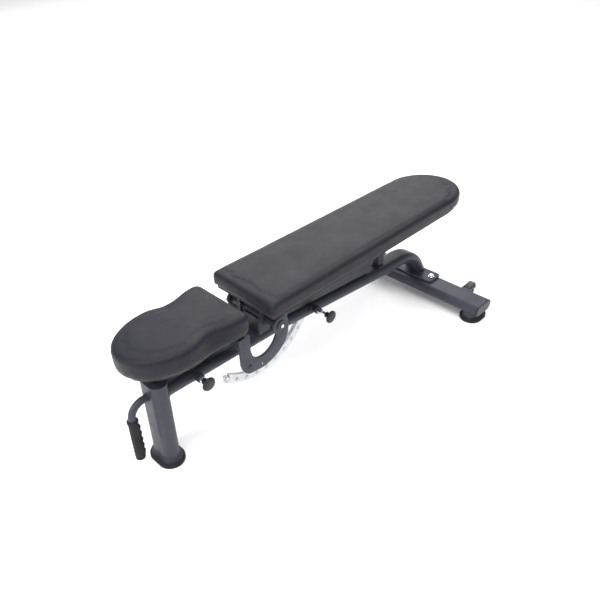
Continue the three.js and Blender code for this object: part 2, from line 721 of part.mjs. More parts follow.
function hingeEar(side) {
  const shape = new THREE.Shape();
  const rear = HINGE_TUBE.x1 - 2;
  shape.moveTo(PIVOT.x - 34, frameTop);
  shape.absarc(PIVOT.x, PIVOT.z, EAR_RADIUS, radians(150), radians(285), false);
  shape.lineTo(rear, hingeLow + 2);
  shape.lineTo(rear, frameTop);
  shape.closePath();
  return push(shape, 'y', EAR_THICK, side * (earInner + earOuter) / 2)
    .subtract(pivotBar(SHAFT_DIAMETER / 2 + RUN, -200, 200));
}

function back() {
  piece('back_pad', pad(backOutline, BACK_LOWER_RINGS, backPadBottom, PAD_TOP), LEATHER);
  const board = push(backOutline(BOARD_INSET), 'z', BOARD_THICK, backBoardTop - BOARD_THICK / 2);
  piece('back_board', board, WOOD);
  piece('back_rail', backRail(), FRAME_PAINT);
  const section = boxSection(HINGE_TUBE.x0, HINGE_TUBE.x1, hingeLow, hingeHigh);
  piece('hinge_tube', boxTube(section, 'y', 2 * (earInner - GAP), 0), FRAME_PAINT);
  pair('hinge_ear', hingeEar, FRAME_PAINT);
  piece('pad_bracket_front', padBracket(PAD_BRACKET_X[0]), FRAME_PAINT);
  piece('pad_bracket_rear', padBracket(PAD_BRACKET_X[1]), FRAME_PAINT);
}

function arc() {
  const first = LOCK_ANGLE - ARC_STEP * (ARC_HOLES - 1) - ARC_FREE_END;
  const outer = ARC_RADIUS + ARC_BAND / 2;
  const inner = ARC_RADIUS - ARC_BAND / 2;
  const profile = new THREE.Shape();
  profile.absarc(PIVOT.x, PIVOT.z, outer, radians(first), radians(0), false);
  profile.absarc(PIVOT.x, PIVOT.z, inner, radians(0), radians(first), true);
  profile.closePath();
  const tip = around(PIVOT, ARC_RADIUS, first);
  const above = push(sloped(HINGE_TUBE.x0, RAIL_END, -GAP, 200), 'y', 90);
  let plate = push(profile, 'y', ARC_PLATE, 0, 18)
    .add(barY(tip.x, tip.z, ARC_BAND / 2, -ARC_PLATE / 2, ARC_PLATE / 2))
    .subtract(above);
  for (let i = 0; i < ARC_HOLES; i++) {
    const hole = around(PIVOT, ARC_RADIUS, LOCK_ANGLE - ARC_STEP * i);
    plate = plate.subtract(barY(hole.x, hole.z, LOCK_HOLE / 2, -90, 90, 12));
  }
  pair('arc_plate', (side) => plate.translate([0, side * (ARC_SPACE + ARC_PLATE) / 2, 0]), SILVER);
  piece('arc_spacer', barY(tip.x, tip.z, 8, -ARC_SPACE / 2 + GAP, ARC_SPACE / 2 - GAP, 12), SILVER);
}

// ---------------------------------------------------------------- seat

const seatPadBottom = PAD_TOP - SEAT_THICK;
const seatBoardTop = seatPadBottom - GAP;
const seatBoardBottom = seatBoardTop - BOARD_THICK;
const seatFrameTop = seatBoardBottom - GAP;
const seatCrossRear = SEAT_REAR - 5;

function seatOutline(inset) {
  const half = SEAT_HALF - inset;
  const waist = SEAT_WAIST - inset;
  const rear = SEAT_REAR - inset;
  const corner = Math.max(3, 22 - inset);
  const widest = SEAT_TIP + SEAT_ROUND;
  const flare = rear - corner - 22;
  const shape = new THREE.Shape();
  const side = (s) => [
    [widest + 46, s * half, flare - 62, s * waist, flare - 38, s * waist],
    [flare - 18, s * waist, flare - 8, s * (half + 1), flare + 22, s * (half + 1)],
  ];
  shape.moveTo(widest, -half);
  for (const curve of side(-1)) {
    shape.bezierCurveTo(...curve);
  }
  shape.absarc(rear - corner, -half - 1 + corner, corner, -Math.PI / 2, 0, false);
  shape.absarc(rear - corner, half + 1 - corner, corner, 0, Math.PI / 2, false);
  shape.bezierCurveTo(flare - 8, half + 1, flare - 18, waist, flare - 38, waist);
  shape.bezierCurveTo(flare - 62, waist, widest + 46, half, widest, half);
  shape.absellipse(widest, 0, SEAT_ROUND - inset, half, Math.PI / 2, 1.5 * Math.PI, false, 0);
  shape.closePath();
  return shape;
}

// Side bracket: an arm under the seat, a hook that leaves room for the back pad's front edge as the
// back swings up, and an eye on the shared pivot. Offsets are from the pivot.
function bracketShape() {
  const at = (dx, dz) => [PIVOT.x + dx, PIVOT.z + dz];
  const armRear = -124.5;
  const armFront = -166;
  const top = seatFrameTop - PIVOT.z;
  const eye = 31;
  const shape = new THREE.Shape();
  shape.moveTo(...at(armRear, top));
  shape.lineTo(...at(armFront, top));
  shape.lineTo(...at(armFront + 3, -62));
  shape.quadraticCurveTo(...at(armFront + 10, -106), ...at(-122, -109));
  shape.lineTo(...at(-90, -113));
  shape.bezierCurveTo(...at(-40, -118), ...at(26, -84), ...at(31, -26));
  shape.absarc(PIVOT.x, PIVOT.z, eye, radians(-10), radians(170), false);
  shape.quadraticCurveTo(...at(-24, -10), ...at(-20, -22));
  shape.bezierCurveTo(...at(-28, -52), ...at(-58, -70), ...at(-82, -70));
  shape.bezierCurveTo(...at(-108, -70), ...at(-124, -48), ...at(armRear, -18));
  shape.closePath();
  return shape;
}

function seat() {
  piece('seat_pad', pad(seatOutline, SEAT_LOWER_RINGS, seatPadBottom, PAD_TOP), LEATHER);
  const board = push(
    seatOutline(BOARD_INSET + 6), 'z', BOARD_THICK, seatBoardTop - BOARD_THICK / 2);
  piece('seat_board', board, WOOD);
  pair('seat_bracket', (side) => push(
    bracketShape(), 'y', BRACKET_THICK, side * (BRACKET_INNER + BRACKET_THICK / 2), 7,
  ).subtract(pivotBar(SHAFT_DIAMETER / 2 + RUN, -200, 200)), FRAME_PAINT);
  pair('bracket_bolt', (side) => {
    const from = BRACKET_INNER + BRACKET_THICK + GAP;
    return barY(PIVOT.x - 130, PIVOT.z - 84, 9, ...span(side, from, from + 5), 6);
  }, ZINC);
  const crossFront = seatCrossRear - SEAT_CROSS;
  const cross = boxSection(crossFront, seatCrossRear, seatFrameTop - SEAT_CROSS, seatFrameTop);
  piece('seat_cross_tube', boxTube(cross, 'y', 2 * (BRACKET_INNER - GAP), 0), FRAME_PAINT);

  const railEnd = crossFront - GAP;
  const length = railEnd - SEAT_RAIL_FRONT;
  const half = SEAT_RAIL_WIDTH / 2;
  const section = boxSection(-half, half, seatFrameTop - SEAT_RAIL_HEIGHT, seatFrameTop);
  piece('seat_rail', boxTube(section, 'x', length, SEAT_RAIL_FRONT + length / 2), FRAME_PAINT);

  const outer = seatPinRadius + LOCK_BAND / 2;
  const inner = seatPinRadius - LOCK_BAND / 2;
  const first = 177 - THREE.MathUtils.radToDeg(Math.asin((seatFrameTop - PIVOT.z) / inner));
  const last = seatPinAngle + SEAT_STEP * (SEAT_HOLES - 1) + 2.4;
  const profile = new THREE.Shape();
  profile.absarc(PIVOT.x, PIVOT.z, outer, radians(first), radians(last), false);
  profile.absarc(PIVOT.x, PIVOT.z, inner, radians(last), radians(first), true);
  profile.closePath();
  let plate = push(profile, 'y', LOCK_PLATE, 0, 6)
    .subtract(box(-200, 400, -90, 90, seatFrameTop - SEAT_RAIL_HEIGHT - GAP, 600));
  for (let i = 0; i < SEAT_HOLES; i++) {
    const hole = around(PIVOT, seatPinRadius, seatPinAngle + SEAT_STEP * i);
    plate = plate.subtract(barY(hole.x, hole.z, LOCK_HOLE / 2, -90, 90, 12));
  }
  piece('seat_lock_plate', plate, ZINC);
}

// ---------------------------------------------------------------- pull pins

// Boss welded to the tube, threaded ferrule, and a sprung pin with a knob. All stand on the near
// (-Y) side. `tip` is where the pin's end stops, just short of the plate that it locks.
function pullPin(name, at, { tip, bossEnd, ferruleEnd, knobStart }) {
  const bar = (radius, from, to, segments) => barY(at.x, at.z, radius, -to, -from, segments);
  const bore = bar(PIN_DIAMETER / 2 + RUN, 0, 200, 16);
  const boss = bar(BOSS_DIAMETER / 2, MAIN_WIDTH / 2 - 12, bossEnd);
  piece(`${name}_pin_boss`, boss.subtract(bore).subtract(mainOuter(GAP)), FRAME_PAINT);
  const nut = bar(9.5, bossEnd + GAP, ferruleEnd - 3, 6);
  const collar = bar(7.8, bossEnd + GAP, ferruleEnd, 16);
  piece(`${name}_pin_ferrule`, nut.add(collar).subtract(bore), ZINC);
  const shaftEnd = knobStart + 12;
  piece(`${name}_pin`, bar(PIN_DIAMETER / 2, tip, shaftEnd, 16), ZINC);
  const r = KNOB_RADIUS;
  const k = knobStart;
  const knob = turnedY(at.x, at.z, [
    [0, -k - 27], [r - 5, -k - 26.5], [r - 1, -k - 24], [r, -k - 20.5], [r - 4, -k - 15],
    [10, -k - 12], [9, -k - 7], [10, -k], [PIN_DIAMETER / 2 + GAP, -k],
    [PIN_DIAMETER / 2 + GAP, -k - 12 - GAP], [0, -k - 12 - GAP],
  ], 24);
  piece(`${name}_pin_knob`, knob, PLASTIC);
}

// ---------------------------------------------------------------- stops

function stops() {
  const deck = mainTop(STOP_X);
  const low = deck - 6;
  const square = (width, from, to) => {
    const half = width / 2;
    const plan = roundedRectangle(STOP_X - half, STOP_X + half, -half, half, 4);
    return push(plan, 'z', to - from, (to + from) / 2, 1);
  };
  const top = frameTop - BUMPER - GAP;
  const post = square(STOP_BASE, low, deck + STOP_FLANGE).add(square(STOP_POST, low, top));
  piece('back_stop_post', post.subtract(mainOuter(GAP)), FRAME_PAINT);
  piece('back_stop_bumper', barZ(STOP_X, 0, STOP_POST / 2 + 1, top + GAP, frameTop), RUBBER);
  const capTop = LEG_TOP + GAP + LEG_CAP;
  const seatStop = seatFrameTop - SEAT_RAIL_HEIGHT - GAP;
  piece('seat_bumper', barZ(0, 0, 17, capTop + GAP, seatStop), RUBBER);
}

frontLeg();
frontFoot();
carryHandle();
mainTube();
archGusset();
rearBeam();
rearFeet();
wheels();
pivot();
back();
arc();
seat();
pullPin('seat', SEAT_PIN, { tip: LOCK_PLATE / 2 + 1, bossEnd: 60, ferruleEnd: 70, knobStart: 72 });
pullPin('back', backPin, { tip: arcHalf + 1, bossEnd: 62, ferruleEnd: 80, knobStart: 96 });
stops();

const front = -HANDLE_REACH - GRIP_DIAMETER / 2;
bench.position.x = -(front + BACK_TIP) / 2;

const part = new THREE.Group();
part.add(bench);

export default part;
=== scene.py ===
"""Adjustable weight bench: detailed pieces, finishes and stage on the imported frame."""

import json
import math

import bmesh
import bpy
from bpy.props import FloatProperty, FloatVectorProperty, PointerProperty
from mathutils import Matrix, Vector, noise


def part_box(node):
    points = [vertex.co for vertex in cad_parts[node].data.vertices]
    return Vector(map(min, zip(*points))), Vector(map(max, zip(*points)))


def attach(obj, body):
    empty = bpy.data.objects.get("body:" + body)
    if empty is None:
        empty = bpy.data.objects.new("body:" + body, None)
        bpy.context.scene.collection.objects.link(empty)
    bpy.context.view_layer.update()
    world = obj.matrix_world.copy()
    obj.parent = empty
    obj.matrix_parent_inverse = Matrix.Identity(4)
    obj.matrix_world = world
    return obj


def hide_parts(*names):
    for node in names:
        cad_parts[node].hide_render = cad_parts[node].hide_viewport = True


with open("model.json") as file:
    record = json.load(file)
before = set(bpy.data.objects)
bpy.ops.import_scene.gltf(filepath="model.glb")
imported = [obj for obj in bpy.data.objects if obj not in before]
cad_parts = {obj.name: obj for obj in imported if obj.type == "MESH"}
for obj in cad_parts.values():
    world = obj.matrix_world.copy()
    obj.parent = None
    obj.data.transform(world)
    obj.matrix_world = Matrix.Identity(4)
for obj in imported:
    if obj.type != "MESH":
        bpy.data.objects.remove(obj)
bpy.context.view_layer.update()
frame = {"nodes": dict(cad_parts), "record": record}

bl_info = {
    "name": "Adjustable Weight Bench",
    "version": (1, 0, 0),
    "blender": (4, 5, 0),
    "location": "3D View > Sidebar > Bench",
    "description": "Builds the pads, tubes, plates, fittings, finishes and stage of a weight bench",
    "category": "Object",
}

MM = 0.001


def middle(node):
    """Middle of a CAD node at rest, in metres."""
    low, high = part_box(node)
    return (Vector(low) + Vector(high)) / 2


LEG_AXIS = middle("seat_bumper").x  # every x below is counted from here, in millimetres


def place(x, y, z):
    """A point in millimetres from the leg's axis, as a vector in metres."""
    return Vector((LEG_AXIS + x * MM, y * MM, z * MM))


def from_leg(node):
    """Middle of a CAD node in millimetres from the leg's axis."""
    point = middle(node)
    return (point.x - LEG_AXIS) / MM, point.y / MM, point.z / MM


def reach(node, axis, end):
    """Lowest (end 0) or highest (end 1) coordinate of a CAD node, in millimetres."""
    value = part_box(node)[end][axis]
    return (value - (LEG_AXIS if axis == 0 else 0)) / MM


def span(node, axis):
    """Lowest and highest coordinate of a CAD node along an axis, in millimetres."""
    return reach(node, axis, 0), reach(node, axis, 1)


def size_of(node):
    """Size of a CAD node along x, y and z, in millimetres."""
    low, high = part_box(node)
    return [(b - a) / MM for a, b in zip(low, high)]


PIVOT_X, _, PIVOT_Z = from_leg("pivot_shaft")
SOLE_TOP = reach("front_leg", 2, 0)
LEG_TOP = reach("front_leg", 2, 1)
PLATE_TOP = SOLE_TOP + 6  # top face of the base plates
GRIP_X = -86
HANDLE_RADIUS = 11
HANDLE_Z = reach("carry_handle", 2, 1) - HANDLE_RADIUS
BEAM_X, _, BEAM_Z = from_leg("rear_beam")
FLANGE_TOP = reach("rear_flange", 2, 1)
FOOT_TOP = reach("front_foot", 2, 1)
TUBE_BENDS = ((0, 267.5), (460, 253), (1040, 199.5))  # main tube's centre line as (x, z)
ARCH_CORNER = (1208, 197)  # where the centre line turns down into the arch
ARCH_TAN = math.tan(math.radians(60))
RAIL_X = (474, 932)
RAIL_GAP = (24.3, 31)  # back rail's lower face above the tube's centre line, at each of RAIL_X
SHAFT_HOLE = 12.4  # radius of the hole for the pivot shaft
SIDES = {"left": 1, "right": -1}


# ------------------------------------------------------------------ settings


class BenchFrameSizes(bpy.types.PropertyGroup):
    """Sizes of the steel frame."""

    leg_long: FloatProperty(
        name="Leg width", description="Leg's flat oval across the bench, in millimetres",
        default=92, min=60, max=120,
    )
    leg_short: FloatProperty(
        name="Leg depth", description="Leg's flat oval along the bench, in millimetres",
        default=55, min=30, max=80,
    )
    tube_wide: FloatProperty(
        name="Main tube width", description="Main tube across the bench, in millimetres",
        default=78, min=50, max=100,
    )
    tube_high: FloatProperty(
        name="Main tube height", description="Main tube's height, in millimetres",
        default=42, min=25, max=60,
    )
    edge: FloatProperty(
        name="Edge rounding", description="Rounding of cut plate edges, in millimetres",
        default=0.7, min=0.1, max=2,
    )


class BenchPadShape(bpy.types.PropertyGroup):
    """How the pads are stuffed."""

    voxel: FloatProperty(
        name="Cloth cell", description="Size of the cover's cells",
        default=0.005, min=0.004, max=0.012,
        unit="LENGTH", subtype="DISTANCE",
    )
    start_inset: FloatProperty(
        name="Foam inset", description="How much smaller the foam starts than the cover ends",
        default=0.0045, min=0, max=0.02,
        unit="LENGTH", subtype="DISTANCE",
    )
    swell: FloatProperty(
        name="Swell limit", description="Farthest a point of the cover may move",
        default=0.006, min=0, max=0.02,
        unit="LENGTH", subtype="DISTANCE",
    )
    pressure: FloatProperty(
        name="Stuffing", description="Pressure inside the cover",
        default=4, min=0, max=20,
    )


class BenchColours(bpy.types.PropertyGroup):
    """Colours of the finishes."""

    paint: FloatVectorProperty(
        name="Frame paint", description="Powder coat on the steel", subtype="COLOR", size=3,
        default=(0.033, 0.035, 0.049), min=0, max=1,
    )
    cover: FloatVectorProperty(
        name="Pad cover", description="Vinyl cover of the pads", subtype="COLOR", size=3,
        default=(0.0105, 0.0107, 0.0165), min=0, max=1,
    )
    arc: FloatVectorProperty(
        name="Lock arc", description="Silver paint on the lock arc", subtype="COLOR", size=3,
        default=(0.74, 0.745, 0.77), min=0, max=1,
    )
    rubber: FloatVectorProperty(
        name="Rubber", description="Feet, grip and bumpers", subtype="COLOR", size=3,
        default=(0.008, 0.008, 0.0095), min=0, max=1,
    )
    wheel: FloatVectorProperty(
        name="Wheels", description="Transport wheels", subtype="COLOR", size=3,
        default=(0.06, 0.062, 0.068), min=0, max=1,
    )


class BenchStage(bpy.types.PropertyGroup):
    """Floor and light."""

    key: FloatProperty(
        name="Key light", description="Power of the large light",
        default=230, min=0, max=2000, subtype="POWER",
    )
    back: FloatProperty(
        name="Back light", description="Power of the light behind",
        default=300, min=0, max=2000, subtype="POWER",
    )
    fill: FloatProperty(
        name="Fill light", description="Power of the fill light",
        default=55, min=0, max=2000, subtype="POWER",
    )
    room: FloatProperty(
        name="Room light", description="Strength of the surrounding light",
        default=0.5, min=0, max=5,
    )


class BenchSettings(bpy.types.PropertyGroup):
    """All settings of the bench."""

    frame: PointerProperty(type=BenchFrameSizes)
    pads: PointerProperty(type=BenchPadShape)
    colours: PointerProperty(type=BenchColours)
    stage: PointerProperty(type=BenchStage)


def settings():
    """The scene's bench settings."""
    return bpy.context.scene.bench


# ------------------------------------------------------------------ outlines


class Outline:
    """A flat closed outline drawn from lines, arcs and curves, in millimetres."""

    def __init__(self, *start):
        self.points = [start]

    def line(self, *point):
        self.points.append(point)
        return self

    def curve(self, *controls, steps=14):
        """Bezier curve from the last point through one or two control points to the last one given."""
        handles = [Vector(self.points[-1])] + [Vector(c) for c in controls]
        for k in range(1, steps + 1):
            t = k / steps
            level = handles
            while len(level) > 1:
                level = [a.lerp(b, t) for a, b in zip(level, level[1:])]
            self.points.append(tuple(level[0]))
        return self

    def arc(self, cx, cy, radius, start, end, step=4.0, radius_v=None):
        """Arc about a centre, in degrees; radius_v makes it an ellipse."""
        count = max(2, math.ceil(abs(end - start) / step))
        for k in range(count + 1):
            turn = math.radians(start + (end - start) * k / count)
            self.points.append((cx + radius * math.cos(turn), cy + (radius_v or radius) * math.sin(turn)))
        return self

    def done(self):
        """The points without repeats."""
        kept = []
        for p in self.points:
            if not kept or math.dist(p, kept[-1]) > 0.01:
                kept.append(p)
        if math.dist(kept[0], kept[-1]) < 0.01:
            kept.pop()
        return kept


def disc(radius, cx=0.0, cy=0.0, count=36):
    """Round outline."""
    return [
        (cx + radius * math.cos(2 * math.pi * k / count), cy + radius * math.sin(2 * math.pi * k / count))
        for k in range(count)
    ]


def flat_oval(long, short, cx=0.0, cy=0.0, step=6.0):
    """Flat oval with its long side along the first axis."""
    radius = short / 2
    half = long / 2 - radius
    outline = Outline(cx + half, cy - radius)
    outline.arc(cx + half, cy, radius, -90, 90, step)
    outline.arc(cx - half, cy, radius, 90, 270, step)
    return outline.done()


def rounded_box(u0, u1, v0, v1, radius, step=15.0):
    """Rectangle with rounded corners."""
    outline = Outline(u1 - radius, v0)
    outline.arc(u1 - radius, v0 + radius, radius, -90, 0, step)
    outline.arc(u1 - radius, v1 - radius, radius, 0, 90, step)
    outline.arc(u0 + radius, v1 - radius, radius, 90, 180, step)
    outline.arc(u0 + radius, v0 + radius, radius, 180, 270, step)
    return outline.done()


# ------------------------------------------------------------------ mesh building


def loft(bm, rings, closed=False):
    """Skins a list of equally long rings; the ends are capped unless the loft closes on itself."""
    loops = [[bm.verts.new(p) for p in ring] for ring in rings]
    count = len(rings[0])
    pairs = list(zip(loops, loops[1:]))
    if closed:
        pairs.append((loops[-1], loops[0]))
    for near, far in pairs:
        for i in range(count):
            j = (i + 1) % count
            bm.faces.new((near[i], near[j], far[j], far[i]))
    if not closed:
        bm.faces.new(loops[0][::-1])
        bm.faces.new(loops[-1])


def standing(bm, section, levels, cx=0.0, cy=0.0, across=False):
    """Upright loft of a flat oval (long, short) through levels (growth, z); across turns it sideways."""
    long, short = section
    rings = []
    for growth, z in levels:
        oval = flat_oval(long + 2 * growth, short + 2 * growth)
        rings.append([place(cx + (v if across else u), cy + (u if across else v), z) for u, v in oval])
    loft(bm, rings)


def bent(corners, step=4.0):
    """Line through (x, z) corners; a corner given as (x, z, radius) is rounded."""
    line = [tuple(corners[0])]
    for before, corner, after in zip(corners, corners[1:], corners[2:]):
        here = Vector(corner[:2])
        back = (Vector(before[:2]) - here).normalized()
        ahead = (Vector(after[:2]) - here).normalized()
        turn = math.pi - back.angle(ahead)
        radius = corner[2]
        setback = radius * math.tan(turn / 2)
        centre = here + (back + ahead).normalized() * radius / math.cos(turn / 2)
        start = here + back * setback - centre
        sign = 1 if start.x * ahead.y - start.y * ahead.x > 0 else -1
        count = max(2, math.ceil(math.degrees(turn) / step))
        for k in range(count + 1):
            angle = sign * turn * k / count
            c, s = math.cos(angle), math.sin(angle)
            line.append((centre.x + c * start.x - s * start.y, centre.y + s * start.x + c * start.y))
    line.append(tuple(corners[-1][:2]))
    return line


def sweep(bm, line, section):
    """Pushes a section (across, outward) along an (x, z) line."""
    rings = []
    for i, (x, z) in enumerate(line):
        before = Vector(line[max(i - 1, 0)])
        after = Vector(line[min(i + 1, len(line) - 1)])
        ahead = (after - before).normalized()
        rings.append([place(x - ahead.y * v, u, z + ahead.x * v) for u, v in section])
    loft(bm, rings)


AXES = {
    "y": Matrix(((1, 0, 0), (0, 0, -1), (0, 1, 0))),
    "z": Matrix.Identity(3),
}


def turned(bm, profile, centre, axis, count=40):
    """Turned piece: profile is (radius, distance along the axis from the centre)."""
    matrix = AXES[axis]
    origin = place(*centre)
    flip = -1 if axis == "y" else 1
    rings = []
    tips = {}
    for k, (radius, along) in enumerate(profile):
        if radius == 0:
            tips[k] = bm.verts.new(origin + matrix @ Vector((0, 0, flip * along * MM)))
            rings.append(None)
            continue
        rings.append([
            bm.verts.new(origin + matrix @ Vector((u * MM, v * MM, flip * along * MM)))
            for u, v in disc(radius, count=count)
        ])
    for k in range(len(profile) - 1):
        a, b = rings[k], rings[k + 1]
        for i in range(count):
            j = (i + 1) % count
            if a and b:
                bm.faces.new((a[i], a[j], b[j], b[i]))
            elif b:
                bm.faces.new((tips[k], b[j], b[i]))
            elif a:
                bm.faces.new((a[i], a[j], tips[k + 1]))


def plate(bm, outline, low, high, axis, holes=(), edge=None):
    """Flat plate cut to an outline, with holes and softly rounded edges, from low to high along the axis."""
    edge = settings().frame.edge if edge is None else edge
    cut = bpy.data.curves.new("cut", "CURVE")
    cut.dimensions = "2D"
    cut.fill_mode = "BOTH"
    cut.extrude = max((high - low) / 2 - edge, 0) * MM
    cut.bevel_depth = edge * MM
    cut.bevel_resolution = 1
    cut.offset = -edge * MM
    for loop in (outline, *holes):
        spline = cut.splines.new("POLY")
        spline.points.add(len(loop) - 1)
        for point, (u, v) in zip(spline.points, loop):
            point.co = (u * MM, v * MM, 0, 1)
        spline.use_cyclic_u = True
    carrier = bpy.data.objects.new("cut", cut)
    mesh = bpy.data.meshes.new_from_object(carrier)
    along = Vector((0, 1, 0)) if axis == "y" else Vector((0, 0, 1))
    centre = place(0, 0, 0) + along * ((low + high) / 2 * MM)
    mesh.transform(Matrix.Translation(centre) @ AXES[axis].to_4x4())
    part = bmesh.new()
    part.from_mesh(mesh)
    bmesh.ops.remove_doubles(part, verts=part.verts, dist=1e-6)
    joined = bpy.data.meshes.new("joined")
    part.to_mesh(joined)
    part.free()
    bm.from_mesh(joined)
    bpy.data.objects.remove(carrier)
    bpy.data.curves.remove(cut)
    bpy.data.meshes.remove(mesh)
    bpy.data.meshes.remove(joined)


def block(bm, corners, width):
    """Prism of an (x, z) polygon, centred across the bench."""
    loft(bm, [[place(x, y, z) for x, z in corners] for y in (-width / 2, width / 2)])


def soften(bm, width, angle=40.0):
    """Rounds every edge sharper than an angle."""
    limit = math.radians(angle)
    sharp = [e for e in bm.edges if e.is_manifold and e.calc_face_angle(0) > limit]
    bmesh.ops.bevel(
        bm, geom=sharp, offset=width * MM, segments=2, profile=0.5, affect="EDGES", clamp_overlap=True
    )


def bake_modifiers(piece):
    """Replaces a piece's mesh with what its modifiers make of it."""
    shape = bpy.data.meshes.new_from_object(piece.evaluated_get(bpy.context.evaluated_depsgraph_get()))
    piece.modifiers.clear()
    old = piece.data
    piece.data = shape
    bpy.data.meshes.remove(old)
    shape.name = piece.name


SLOT_OF = {
    "Powder coat": "frame_paint",
    "Pad vinyl": "upholstery",
    "Moulded rubber": "rubber",
    "Black plastic": "plastic",
    "Zinc plate": "zinc",
    "Silver paint": "silver",
    "Pad board": "board",
    "Wheel plastic": "wheel",
}


def finish_piece(name, bm, body, look, stands_for=(), sharp=35.0):
    """Turns a built mesh into a piece that rides on a body and wears a finish."""
    bmesh.ops.recalc_face_normals(bm, faces=bm.faces)
    limit = math.radians(sharp)
    for face in bm.faces:
        face.smooth = True
    for edge in bm.edges:
        edge.smooth = not (edge.is_manifold and edge.calc_face_angle(0) > limit)
    mesh = bpy.data.meshes.new(name)
    bm.to_mesh(mesh)
    bm.free()
    return dress(bpy.data.objects.new(name, mesh), body, look, stands_for)


def dress(piece, body, look, stands_for=()):
    """Links a piece, gives it its finish, hangs it on its body and hides the CAD nodes it stands for."""
    if piece.name not in bpy.context.scene.collection.objects:
        bpy.context.scene.collection.objects.link(piece)
    piece.data.materials.clear()
    piece.data.materials.append(bpy.data.materials[look])
    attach(piece, body)
    if stands_for:
        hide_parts(*stands_for)
    return piece


def outward(profile, side):
    """A turned profile with its distances taken towards +1 or -1 of the axis."""
    return [(radius, along * side) for radius, along in profile]


WASHER_HIGH = 2.2


def hex_bolt(bm, centre, axis, side, radius, height, washer=0.0):
    """Chamfered hexagon head, with a washer under it, that stands out along +1 or -1 of the axis."""
    foot = 0.0
    if washer:
        foot = WASHER_HIGH
        ring = [(0, 0), (washer - 0.5, 0), (washer, 0.5), (washer, 1.7), (washer - 0.5, foot), (0, foot)]
        turned(bm, outward(ring, side), centre, axis)
    top = foot + height
    head = [(0, foot), (radius, foot), (radius, top - 1.3), (radius - 1.4, top), (radius * 0.45, top),
            (radius * 0.4, top - 0.6), (0, top - 0.6)]
    turned(bm, outward(head, side), centre, axis, count=6)


def bead(bm, loop, radius, ripples):
    """Weld bead along a closed loop of points, with a faint ripple from the torch."""
    count = len(loop)
    turns = [k * math.pi / 4 for k in range(8)]
    steady = Vector((0.31, 0.2, 0.93))  # any direction that the loops do not run along
    rings = []
    for i, point in enumerate(loop):
        ahead = (loop[(i + 1) % count] - loop[i - 1]).normalized()
        side = ahead.cross(steady).normalized()
        up = side.cross(ahead)
        swell = radius * MM * (1 + 0.1 * math.sin(ripples * 2 * math.pi * i / count))
        rings.append([point + (side * math.cos(a) + up * math.sin(a)) * swell for a in turns])
    loft(bm, rings, closed=True)


# ------------------------------------------------------------------ finishes


def effect(name, inputs, outputs):
    """A new shader node group with named float inputs and outputs."""
    group = bpy.data.node_groups.new(name, "ShaderNodeTree")
    for label, default in inputs:
        socket = group.interface.new_socket(label, in_out="INPUT", socket_type="NodeSocketFloat")
        socket.default_value = default
    for label in outputs:
        group.interface.new_socket(label, in_out="OUTPUT", socket_type="NodeSocketFloat")
    return group, group.nodes.new("NodeGroupInput"), group.nodes.new("NodeGroupOutput")


def node(tree, kind, **values):
    """A node with properties and input defaults set by name."""
    made = tree.nodes.new(kind)
    for key, value in values.items():
        if hasattr(made, key):
            setattr(made, key, value)
        else:
            made.inputs[key.replace("_", " ")].default_value = value
    return made


def surface_point(tree):
    """Position on the piece itself, so a pattern stays put when the bench moves."""
    return node(tree, "ShaderNodeTexCoord").outputs["Object"]


def make_mottle():
    """Slow drift between two values, for worn, handled or dusty surfaces."""
    group, given, result = effect("Mottle", [("Scale", 8), ("Low", 0.3), ("High", 0.5)], ["Value"])
    clouds = node(group, "ShaderNodeTexNoise", Detail=5.0, Roughness=0.6)
    spread = node(group, "ShaderNodeMapRange")
    spread.inputs["From Min"].default_value = 0.3
    spread.inputs["From Max"].default_value = 0.7
    link = group.links.new
    link(surface_point(group), clouds.inputs["Vector"])
    link(given.outputs["Scale"], clouds.inputs["Scale"])
    link(clouds.outputs["Fac"], spread.inputs["Value"])
    link(given.outputs["Low"], spread.inputs["To Min"])
    link(given.outputs["High"], spread.inputs["To Max"])
    link(spread.outputs["Result"], result.inputs["Value"])
    return group


def make_orange_peel():
    """Fine pebbled height of a sprayed or moulded surface."""
    group, given, result = effect("Orange peel", [("Scale", 600)], ["Height"])
    pebbles = node(group, "ShaderNodeTexVoronoi", feature="SMOOTH_F1", Smoothness=0.6)
    waves = node(group, "ShaderNodeTexNoise", Detail=2.0)
    halve = node(group, "ShaderNodeMath", operation="MULTIPLY")
    halve.inputs[1].default_value = 0.35
    both = node(group, "ShaderNodeMath", operation="ADD")
    link = group.links.new
    point = surface_point(group)
    for texture in (pebbles, waves):
        link(point, texture.inputs["Vector"])
    link(given.outputs["Scale"], pebbles.inputs["Scale"])
    link(given.outputs["Scale"], halve.inputs[0])
    link(halve.outputs[0], waves.inputs["Scale"])
    link(pebbles.outputs["Distance"], both.inputs[0])
    link(waves.outputs["Fac"], both.inputs[1])
    link(both.outputs[0], result.inputs["Height"])
    return group


